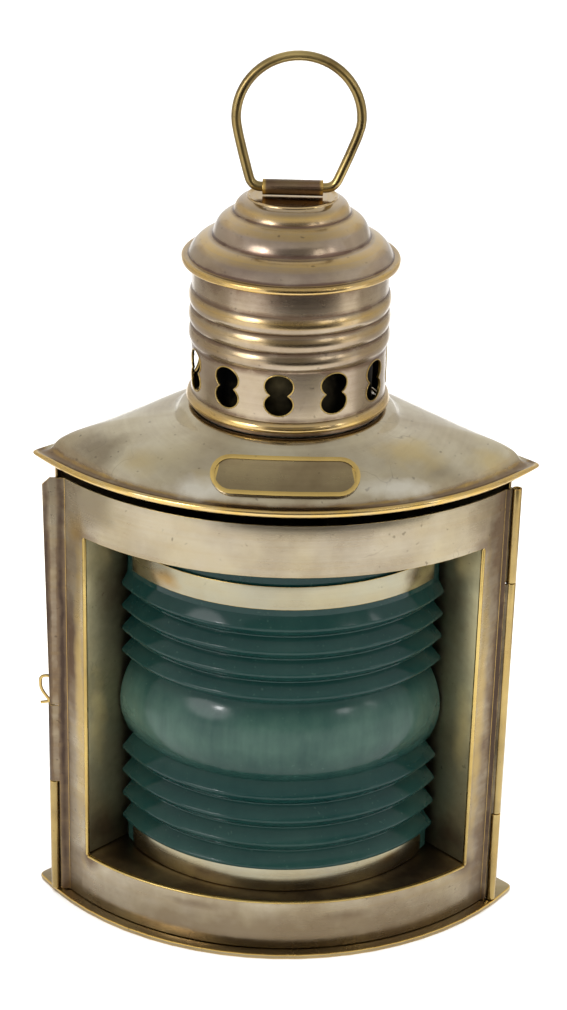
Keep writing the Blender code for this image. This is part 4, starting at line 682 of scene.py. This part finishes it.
def ribs(heights, valley):
    """Ribs with rounded crests, and the valleys between them."""
    line = []
    for z in heights:
        line += [(CREST - 0.15, z - 0.55), (CREST, z - 0.2), (CREST, z + 0.2), (CREST - 0.15, z + 0.55)]
        if z != heights[-1]:
            line += [(VALLEY, z + valley), (VALLEY, z + valley + VALLEY_FLAT)]
    return line


lens_line = [(RIM, LENS_BOTTOM), (RIM, FOOT_TOP)] + ribs(LOWER_RIBS, LOWER_VALLEY) + [(VALLEY, UNDER_BULGE)]
for i in range(1, BULGE_STEPS):
    swell = math.sin(math.pi * i / BULGE_STEPS) ** FULLNESS
    lens_line.append((VALLEY + (BULGE - VALLEY) * swell, BULGE_BOTTOM + BULGE_HEIGHT * i / BULGE_STEPS))
lens_line += [(VALLEY, OVER_BULGE)] + ribs(UPPER_RIBS, UPPER_VALLEY) + [
    (RIM, HEAD_BOTTOM), (RIM, LENS_TOP), (INNER, LENS_TOP), (INNER, LENS_BOTTOM)]
# Dust along the height; the lighter film over the bulge is partly painted reflection of the paper
LENS_DUST_AND_SHEEN = [(17, 0.4), (25, 0.14), (50, 0.08), (56, 0.28), (64, 0.62), (71, 0.5), (78, 0.12), (104, 0.10),
             (110, 0.04), (121, 0.02)]
green = glass_material("green_glass", linear(4, 44, 42), linear(78, 106, 92), (2, LENS_DUST_AND_SHEEN), clean=0.1,
                       dull=0.32, clear=0.2, bump=0.02, shine=0.17)
half = math.radians(LENS_HALF_TURN)
lens = spun("lens_finished", lens_line, [green], steps=96, turn=2 * half, start=half,
            centre_y=LENS_AXIS_Y * MM)
bpy.ops.object.shade_smooth_by_angle(angle=math.radians(28))
ride_as(lens, "lens", "door")

# The roof: brass pressed in a die, with a beaded rim, a swelling dome and a raised ring round
# its throat. It is brushed smooth in arcs and the rim is rubbed yellow; pale patches of painted
# sheen lie on the left of the front slope and along its foot.
WORN, PAINTED_SHEEN = linear(196, 172, 112), linear(228, 222, 206)
ROOF_BROWN = [(26, 0.15), (77, 0.0), (78.8, 0.3), (79.6, 1.0), (81.5, 0.95), (82.2, 0.1), (84, 0.0)]
ROOF_WEAR = [(26, 0.0), (79.0, 0.0), (79.5, 0.3), (80.0, 0.0), (81.8, 0.1), (82.4, 0.85), (84, 0.7)]
roof_stains_and_sheen = [((-52, -18, 146), (9, 9, 6), UMBER, 0.5), ((44, -26, 146), (7, 6, 4), UMBER, 0.3),
               # Painted sheen: a pale patch on the left of the front slope
               ((-30, -26, 147), (10, 5, 5), linear(205, 190, 150), 0.4),
               ((-16, -34, 145), (9, 4, 3), WORN, 0.5),
               ((34, -22, 149), (12, 8, 5), WORN, 0.5), ((56, -16, 144), (7, 7, 4), WORN, 0.5),
               ((-40, -26, 146), (6, 6, 4), WORN, 0.4), ((14, -33, 147), (8, 5, 3), WORN, 0.4),
               # Painted sheen: pale streaks along the foot of the front slope
               ((32, -34, 143.5), (15, 5, 3), PAINTED_SHEEN, 0.7), ((-24, -37, 143.5), (13, 5, 3), PAINTED_SHEEN, 0.7),
               ((0, 40, 147), (30, 18, 6), UMBER, 0.4)]
roof_brass = brass_material("roof_brass", brushed=(500, 1, 300), base=linear(200, 190, 164),
                            browned=linear(126, 106, 82), brown=("bow", ROOF_BROWN), wear=("bow", ROOF_WEAR),
                            scratches=0.4, smooth=0.13, dull=0.32, bump=0.008, stains=roof_stains_and_sheen,
                            turned=True)
finished_copy("roof", "casing", [roof_brass, yellow_edge], edge=0, angle=40, levels=1)

# The plate: a long brass plate with round ends and a raised rim, pressed in one and soldered
# on the roof's front slope. It is bare inside its rim.
RIM_FACE = 12 * MM * MM         # the rim's faces are smaller than this
plate_brass = brass_material("plate_brass", brushed=(9, 9, 500), base=linear(150, 134, 102),
                             browned=linear(92, 74, 54), age=0.7, brown=0.12, scratches=0.7, smooth=0.24)
rim_brass = brass_material("plate_rim_brass", brushed=(60, 60, 60), base=linear(214, 184, 110),
                           browned=linear(140, 112, 66), age=0.6, wear=0.3, scratches=0.2, smooth=0.2,
                           dull=0.36)
plate = finished_copy("name_plate", "casing", [plate_brass, rim_brass], edge=0.25, angle=40)
for face in plate.data.polygons:
    if face.normal.z > 0.5 and face.area < RIM_FACE:
        face.material_index = 1

# The chimney: a turned brass tube with a rolled foot, eleven figure-of-eight vents punched
# through it and three beads above them, soldered on the roof. Its inside is black with soot.
TUBE, TUBE_IN, FOOT = 27.1, 26.5, 28.4
TUBE_BOTTOM, TUBE_TOP = 154.95, 197.55
FOOT_Z, FOOT_HEIGHT, FOOT_SLOPE = 155.9, 1.9, 1.1
BEADS, BEAD_Z, BEAD_PITCH, BEAD_SWELL, CREASE = 3, 173.2, 5.2, 0.8, 0.05
VENTS, VENT_TURN = 11, math.radians(-4.9)
LOBES = (164.0, 169.2)          # the heights of each vent's two round lobes
LOBE_WIDE, LOBE_HIGH, LOBE_WAIST = 4.0, 3.3, 2.6
VENT_BAND_LOW, VENT_BAND_HIGH, VENT_BAND_BEAD = 160.2, 172.8, 173.1
tube_line = [(TUBE, TUBE_BOTTOM), (TUBE, 155.85)]
for i in range(13):
    turn = math.pi * i / 12
    tube_line.append((TUBE + (FOOT - TUBE) * math.sin(turn) ** 0.7,
                      FOOT_Z + FOOT_HEIGHT * (1 - math.cos(turn)) / 2 + (FOOT_SLOPE * max(0.0, i - 6) / 6)))
tube_line += [(TUBE, 160.5), (TUBE, 173.0)]
for i in range(BEADS):
    base = BEAD_Z + BEAD_PITCH * i
    for k in range(1, 12):
        tube_line.append((TUBE + BEAD_SWELL * math.sin(math.pi * k / 12) ** 0.85, base + BEAD_PITCH * k / 12))
    tube_line.append((TUBE - CREASE, base + BEAD_PITCH))
tube_line += [(TUBE, 189.2), (TUBE, TUBE_TOP), (TUBE_IN, TUBE_TOP), (TUBE_IN, TUBE_BOTTOM)]
# Browning along the height; the darkest band at the bottom, the groove under the rolled foot, is painted
# shade
CHIMNEY_BROWN_AND_SHADE = [
    (154.5, 1.0), (155.8, 0.9), (156.4, 0.0), (158.6, 0.2), (159.2, 0.7), (160.5, 0.15), (171.5, 0.15),
    (173.2, 0.9), (174.2, 0.3), (177.6, 0.4), (178.4, 1.0), (179.2, 0.3), (182.8, 0.4), (183.6, 1.0),
    (184.4, 0.3), (188.0, 0.4), (188.8, 1.0), (190.0, 0.35), (196, 0.7), (198, 1.0)]
CHIMNEY_WEAR = [
    (154.5, 0.0), (155.8, 0.1), (156.2, 0.7), (158.0, 0.6), (159.2, 0.0), (172.5, 0.03), (175.4, 0.05),
    (176.6, 0.3), (177.8, 0.05), (180.4, 0.05), (181.8, 0.4), (183.0, 0.05), (185.4, 0.05),
    (186.9, 0.5), (188.2, 0.1), (189.5, 0.03), (198, 0.0)]
chimney_stains = [((-20, -18, 166), (5, 9, 6), UMBER, 0.4), ((24, -12, 167), (4, 8, 7), UMBER, 0.4)]
chimney_brass = brass_material("chimney_brass", brushed=(500, 1, 620), base=linear(186, 172, 152),
                               browned=linear(112, 93, 76), brown=(2, CHIMNEY_BROWN_AND_SHADE), wear=(2, CHIMNEY_WEAR),
                               smooth=0.13, dull=0.32, bump=0.008, stains=chimney_stains, turned=True)
soot = brass_material("sooty_brass", brushed=(80, 80, 80), base=linear(18, 19, 20), browned=linear(9, 9, 10),
                      age=1.0, brown=0.3, scratches=0.0, smooth=0.6, dull=0.8, bump=0.15)
chimney = spun("chimney_finished", tube_line, [chimney_brass, yellow_edge, soot], steps=132)
for lobe_z in LOBES:
    punches = bmesh.new()
    for i in range(VENTS):
        turn = VENT_TURN + 2 * math.pi * i / VENTS
        stand = Matrix.Translation((TUBE * MM * math.sin(turn), -TUBE * MM * math.cos(turn), lobe_z * MM))
        face = Matrix.Rotation(turn, 4, "Z") @ Matrix.Rotation(math.pi / 2, 4, "X")
        flattened = Matrix.Diagonal((1, LOBE_HIGH / LOBE_WIDE, 1, 1))
        bmesh.ops.create_cone(punches, cap_ends=True, segments=32, radius1=LOBE_WIDE * MM,
                              radius2=LOBE_WIDE * MM, depth=4 * MM, matrix=stand @ face @ flattened)
    tool_mesh = bpy.data.meshes.new("punches")
    punches.to_mesh(tool_mesh)
    punches.free()
    tool = bpy.data.objects.new("punches", tool_mesh)
    bpy.context.scene.collection.objects.link(tool)
    punching = chimney.modifiers.new("punching", "BOOLEAN")
    punching.operation = "DIFFERENCE"
    punching.solver = "EXACT"
    punching.object = tool
    selected_alone(chimney)
    bpy.ops.object.modifier_apply(modifier="punching")
    bpy.data.objects.remove(tool)
# Soot takes the inner wall, and the punched edges are yellow
for face in chimney.data.polygons:
    spot_out = math.hypot(face.center.x, face.center.y)
    outward = (face.normal.x * face.center.x + face.normal.y * face.center.y) / spot_out
    if spot_out < (TUBE_IN + 0.06) * MM and outward < -0.5:
        face.material_index = 2
    elif abs(outward) < 0.6 and VENT_BAND_LOW * MM < face.center.z < VENT_BAND_HIGH * MM:
        face.material_index = 1
selected_alone(chimney)
bpy.ops.object.shade_smooth_by_angle(angle=math.radians(40))
# The wall between the vents keeps the tube's roundness, though its faces are long and narrow
leaning = [corner.vector.copy() for corner in chimney.data.corner_normals]
for face in chimney.data.polygons:
    out = Vector((face.center.x, face.center.y, 0)).normalized()
    if face.normal.dot(out) > 0.9 and VENT_BAND_LOW * MM < face.center.z < VENT_BAND_BEAD * MM:
        for loop in face.loop_indices:
            corner = chimney.data.vertices[chimney.data.loops[loop].vertex_index].co
            leaning[loop] = Vector((corner.x, corner.y, 0)).normalized()
chimney.data.normals_split_custom_set(leaning)
ride_as(chimney, "chimney", "casing")

# The vents' burred edges: the chimney's own brass, which the punch drew out to a thin raised
# edge round each figure of eight. It is rubbed yellow.
BURR = 0.2
burr = bpy.data.curves.new("vent_edges", "CURVE")
burr.dimensions = "3D"
burr.bevel_depth = BURR * MM
burr.bevel_resolution = 1
waist = math.degrees(math.asin(LOBE_WAIST / LOBE_HIGH))
lobe_turns = [(180 - waist + (180 + 2 * waist) * i / 20, LOBES[0]) for i in range(21)]
lobe_turns += [(-waist + (180 + 2 * waist) * i / 20, LOBES[1]) for i in range(21)]
for i in range(VENTS):
    middle = VENT_TURN + 2 * math.pi * i / VENTS
    outline = burr.splines.new("POLY")
    outline.use_cyclic_u = True
    outline.points.add(len(lobe_turns) - 1)
    for point, (degrees, lobe_z) in zip(outline.points, lobe_turns):
        turn = middle + math.asin(LOBE_WIDE * math.cos(math.radians(degrees)) / TUBE)
        height = lobe_z + LOBE_HIGH * math.sin(math.radians(degrees))
        point.co = (TUBE * MM * math.sin(turn), -TUBE * MM * math.cos(turn), height * MM, 1)
burrs = bpy.data.objects.new("vent_edges", burr)
bpy.context.scene.collection.objects.link(burrs)
selected_alone(burrs)
bpy.ops.object.convert(target="MESH")
burrs = bpy.context.object
burrs.data.materials.append(bead_brass)
bpy.ops.object.shade_smooth()
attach(burrs, "casing")

# The flue: a plain inner tube of sheet, black with soot. It stands on the roof's throat behind
# the vents, which show nothing but its dark wall.
FLUE, FLUE_IN, FLUE_BOTTOM, FLUE_LIP = 23.4, 21.8, 155.2, 173.5
flue_line = [(FLUE, FLUE_BOTTOM), (FLUE, FLUE_LIP), (23.1, 174.3), (22.6, 174.6), (22.1, 174.3),
             (FLUE_IN, FLUE_LIP), (FLUE_IN, FLUE_BOTTOM)]
flue = spun("flue_inner", flue_line, [soot], steps=96)
bpy.ops.object.shade_smooth_by_angle(angle=math.radians(40))
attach(flue, "casing")

# The vent cap: spun from brass sheet with a rolled rim and three swelling tiers up to a small
# flat top, and soldered on the chimney. Shoulders are rubbed yellow and creases are dark.
TIERS = ((28.4, 197.9), (21.9, 203.3), (16.3, 209.9), (12.4, 214.1))    # radius and height of each crease
SWELLS = (1.1, 1.2, 0.8)        # how far each tier swells out
CREASE_WIDTH, TIER_STEPS = 0.3, 12
CAP_UNDERSIDE = 28.0
cap_line = [(0.0, 214.1), (11.4, 214.1), (11.65, 214.3), (11.95, 214.55), (12.25, 214.5), (12.4, 214.3)]
for (top_r, top_z), (low_r, low_z), out in zip(TIERS[:0:-1], TIERS[-2::-1], SWELLS[::-1]):
    run_r, run_z = low_r - CREASE_WIDTH - top_r, low_z + CREASE_WIDTH - top_z
    span = math.hypot(run_r, run_z)
    for i in range(TIER_STEPS + 1):
        push = out * math.sin(math.pi * i / TIER_STEPS)
        cap_line.append((top_r + run_r * i / TIER_STEPS - run_z / span * push,
                         top_z + run_z * i / TIER_STEPS + run_r / span * push))
    cap_line.append((low_r, low_z))
cap_line += [(29.3, 197.9), (29.75, 197.75), (30.0, 197.4), (30.0, 196.4), (29.75, 196.05), (29.4, 195.9),
             (28.1, 195.9), (28.1, 197.6), (21.3, 202.7), (15.7, 209.3), (11.8, 213.5), (0.0, 213.5)]
CAP_BROWN = [
    (195.5, 0.4), (196.4, 0.0), (197.8, 0.2), (198.1, 1.0), (198.8, 0.3), (201.6, 0.25), (203.0, 0.0),
    (203.4, 0.7), (203.8, 1.0), (204.6, 0.3), (208.2, 0.25), (209.6, 0.0), (210.0, 0.7), (210.4, 1.0),
    (211.0, 0.3), (212.8, 0.3), (214.0, 0.0), (214.8, 0.0)]
CAP_WEAR = [
    (195.5, 0.3), (196.2, 0.6), (197.7, 0.7), (198.1, 0.0), (200.6, 0.03), (201.8, 0.4), (202.8, 0.5),
    (203.5, 0.0), (207.2, 0.03), (208.4, 0.4), (209.5, 0.5), (210.2, 0.0), (211.6, 0.4), (212.6, 0.4),
    (213.4, 0.1), (214.8, 0.7)]
cap_brass = brass_material("cap_brass", brushed=(500, 1, 600), base=linear(184, 168, 150),
                           browned=linear(104, 84, 72), brown=(2, CAP_BROWN), wear=(2, CAP_WEAR), smooth=0.13,
                           dull=0.32, bump=0.008, turned=True)
cap = spun("vent_cap_finished", cap_line, [cap_brass, yellow_edge, soot], steps=120)
for face in cap.data.polygons:
    if face.normal.z < -0.35 and math.hypot(face.center.x, face.center.y) < CAP_UNDERSIDE * MM:
        face.material_index = 2
bpy.ops.object.shade_smooth_by_angle(angle=math.radians(38))
ride_as(cap, "vent_cap", "casing")

# The handle's barrel: a short brass tube, soldered across the cap's flat top. The handle's wire
# turns in it and has rubbed its ends yellow.
BARREL_WEAR = [(-8.4, 0.9), (-7.7, 0.8), (-7.1, 0.05), (7.1, 0.05), (7.7, 0.8), (8.4, 0.9)]
barrel_brass = brass_material("barrel_brass", brushed=(30, 500, 500), base=linear(122, 98, 78),
                              browned=linear(66, 50, 42), age=0.8, brown=0.15, wear=(0, BARREL_WEAR),
                              scratches=0.4, dull=0.4)
finished_copy("handle_barrel", "casing", [barrel_brass, yellow_edge], edge=0.15)

# The handle: stout drawn brass wire, bent to a round bow and sprung into the barrel, where its
# ends meet. Hands keep the top of the bow bright.
HANDLE_DARK, HANDLE_BRIGHT = linear(96, 78, 50), linear(212, 188, 124)
handle_stains = [((-14, 0, 245), (5, 3, 5), HANDLE_DARK, 0.6), ((16, 0, 230), (4, 3, 6), HANDLE_DARK, 0.6),
                 ((0, 0, 253), (8, 3, 3), HANDLE_BRIGHT, 0.6)]
bow_brass = brass_material("bow_brass", brushed=(90, 90, 90), base=linear(166, 144, 92),
                           browned=linear(98, 82, 52), age=1.0, wear=0.06, scratches=0.5, dull=0.38,
                           bump=0.03, stains=handle_stains)
finished_copy("handle", "handle", [bow_brass], edge=0, angle=60, levels=1)

# The fount: two brass pressings, a cup and a shoulder with a collar for the burner, soldered
# together where they meet. Oil has browned the seam and part of the shoulder.
FOUNT_BROWN = [(0, 0.5), (4, 0.2), (17, 0.1), (19.5, 0.8), (20.5, 0.3), (27, 0.1)]
FOUNT_WEAR = [(0, 0.0), (18.4, 0.0), (19.8, 0.6), (21, 0.1), (27, 0.3)]
fount_brass = brass_material("fount_brass", brushed=(500, 1, 400), base=linear(188, 164, 110),
                             browned=linear(118, 94, 60), age=0.7, brown=(2, FOUNT_BROWN),
                             wear=(2, FOUNT_WEAR), scratches=0.4, dull=0.4,
                             stains=[((10, -10, 24), (7, 7, 4), UMBER, 0.5)], turned=True)
for name in ("fount_body", "fount_top"):
    finished_copy(name, "fount", [fount_brass, yellow_edge], edge=0.12)

# The burner: a brass drum that screws into the fount's collar and carries the flat wick tube, a
# gallery with four sprung prongs for the glass, and a slotted dome, all darkened by heat.
BURNER_BROWN = [(27, 0.1), (42, 0.2), (50, 0.7), (56, 1.0)]
burner_brass = brass_material("burner_brass", brushed=(500, 1, 500), base=linear(182, 154, 100),
                              browned=linear(106, 82, 54), age=0.8, brown=(2, BURNER_BROWN), wear=0.05,
                              turned=True)
for name in ("burner_base", "burner_gallery", "flame_deflector", "wick_tube"):
    finished_copy(name, "fount", [burner_brass, yellow_edge], edge=0.08)

# The wick: a flat strip of woven cotton, drawn up through the wick tube and charred along its
# top edge.
THREADS = 420.0                 # warp and weft, in waves a metre
WICK_CHAR = [(20, 0.0), (50.5, 0.0), (52.4, 0.9), (53, 1.0)]
weave, w_in, w_out = new_group(
    "woven_cotton", [("Vector", "NodeSocketVector", None), ("Char", "NodeSocketFloat", 0.0)],
    [("Color", "NodeSocketColor"), ("Roughness", "NodeSocketFloat"), ("Height", "NodeSocketFloat")])
warp = add_node(weave, "ShaderNodeTexWave", [("Vector", w_in.outputs["Vector"]), ("Scale", THREADS),
                                             ("Distortion", 0.6)], bands_direction="X").outputs["Fac"]
weft = add_node(weave, "ShaderNodeTexWave", [("Vector", w_in.outputs["Vector"]), ("Scale", THREADS),
                                             ("Distortion", 0.6)], bands_direction="Z").outputs["Fac"]
threads = sums(weave, "MULTIPLY", warp, weft)
cotton = blended(weave, threads, (*linear(168, 156, 128), 1), (*linear(222, 214, 190), 1))
ragged_char = remap(weave, noise(weave, w_in.outputs["Vector"], 700.0), 0.3, 0.7, -0.3, 0.3)
burnt = sums(weave, "MULTIPLY_ADD", ragged_char, 0.8, w_in.outputs["Char"], True)
weave.links.new(blended(weave, burnt, cotton, (*linear(24, 20, 18), 1)), w_out.inputs["Color"])
weave.links.new(remap(weave, threads, 0.0, 1.0, 0.8, 0.95), w_out.inputs["Roughness"])
weave.links.new(threads, w_out.inputs["Height"])
wick_cotton = bpy.data.materials.new("wick_cotton")
wick_cotton.use_nodes = True
wick_tree = wick_cotton.node_tree
wick_place = add_node(wick_tree, "ShaderNodeTexCoord").outputs["Object"]
wick_finish = add_node(wick_tree, "ShaderNodeGroup", node_tree=weave)
wick_tree.links.new(wick_place, wick_finish.inputs["Vector"])
wick_tree.links.new(bands_along(wick_tree, wick_place, 2, WICK_CHAR), wick_finish.inputs["Char"])
wick_shader = wick_tree.nodes["Principled BSDF"]
wick_tree.links.new(wick_finish.outputs["Color"], wick_shader.inputs["Base Color"])
wick_tree.links.new(wick_finish.outputs["Roughness"], wick_shader.inputs["Roughness"])
wick_relief = add_node(wick_tree, "ShaderNodeBump", [("Height", wick_finish.outputs["Height"]),
                                                     ("Strength", 0.6), ("Distance", 0.0003)])
wick_tree.links.new(wick_relief.outputs[0], wick_shader.inputs["Normal"])
finished_copy("wick", "wick", [wick_cotton], edge=0.15)

# The wick's spindle: a turned brass shaft with two spur wheels that grip the cotton, run
# through the burner's drum, and the milled knob at its end.
spindle_brass = brass_material("spindle_brass", brushed=(200, 600, 600), base=linear(196, 168, 104),
                               browned=linear(116, 90, 56), age=0.7, brown=0.05, wear=0.2, smooth=0.2,
                               dull=0.36)
for name in ("wick_spindle", "wick_knob"):
    finished_copy(name, "wick_spindle", [spindle_brass, yellow_edge], edge=0.08, angle=30)

# The chimney glass: clear blown glass, thin, with a soft grey veil of soot towards its top. It
# stands in the gallery's prongs round the flame.
GLASS_SOOT = [(40, 0.12), (60, 0.05), (100, 0.15), (118, 0.45), (128, 0.7)]
clear = glass_material("clear_glass", linear(236, 242, 238), linear(92, 86, 76), (2, GLASS_SOOT), clean=0.02,
                       dull=0.25, clear=1.0, bump=0.01)
finished_copy("chimney_glass", "chimney_glass", [clear], edge=0, angle=50, levels=1)
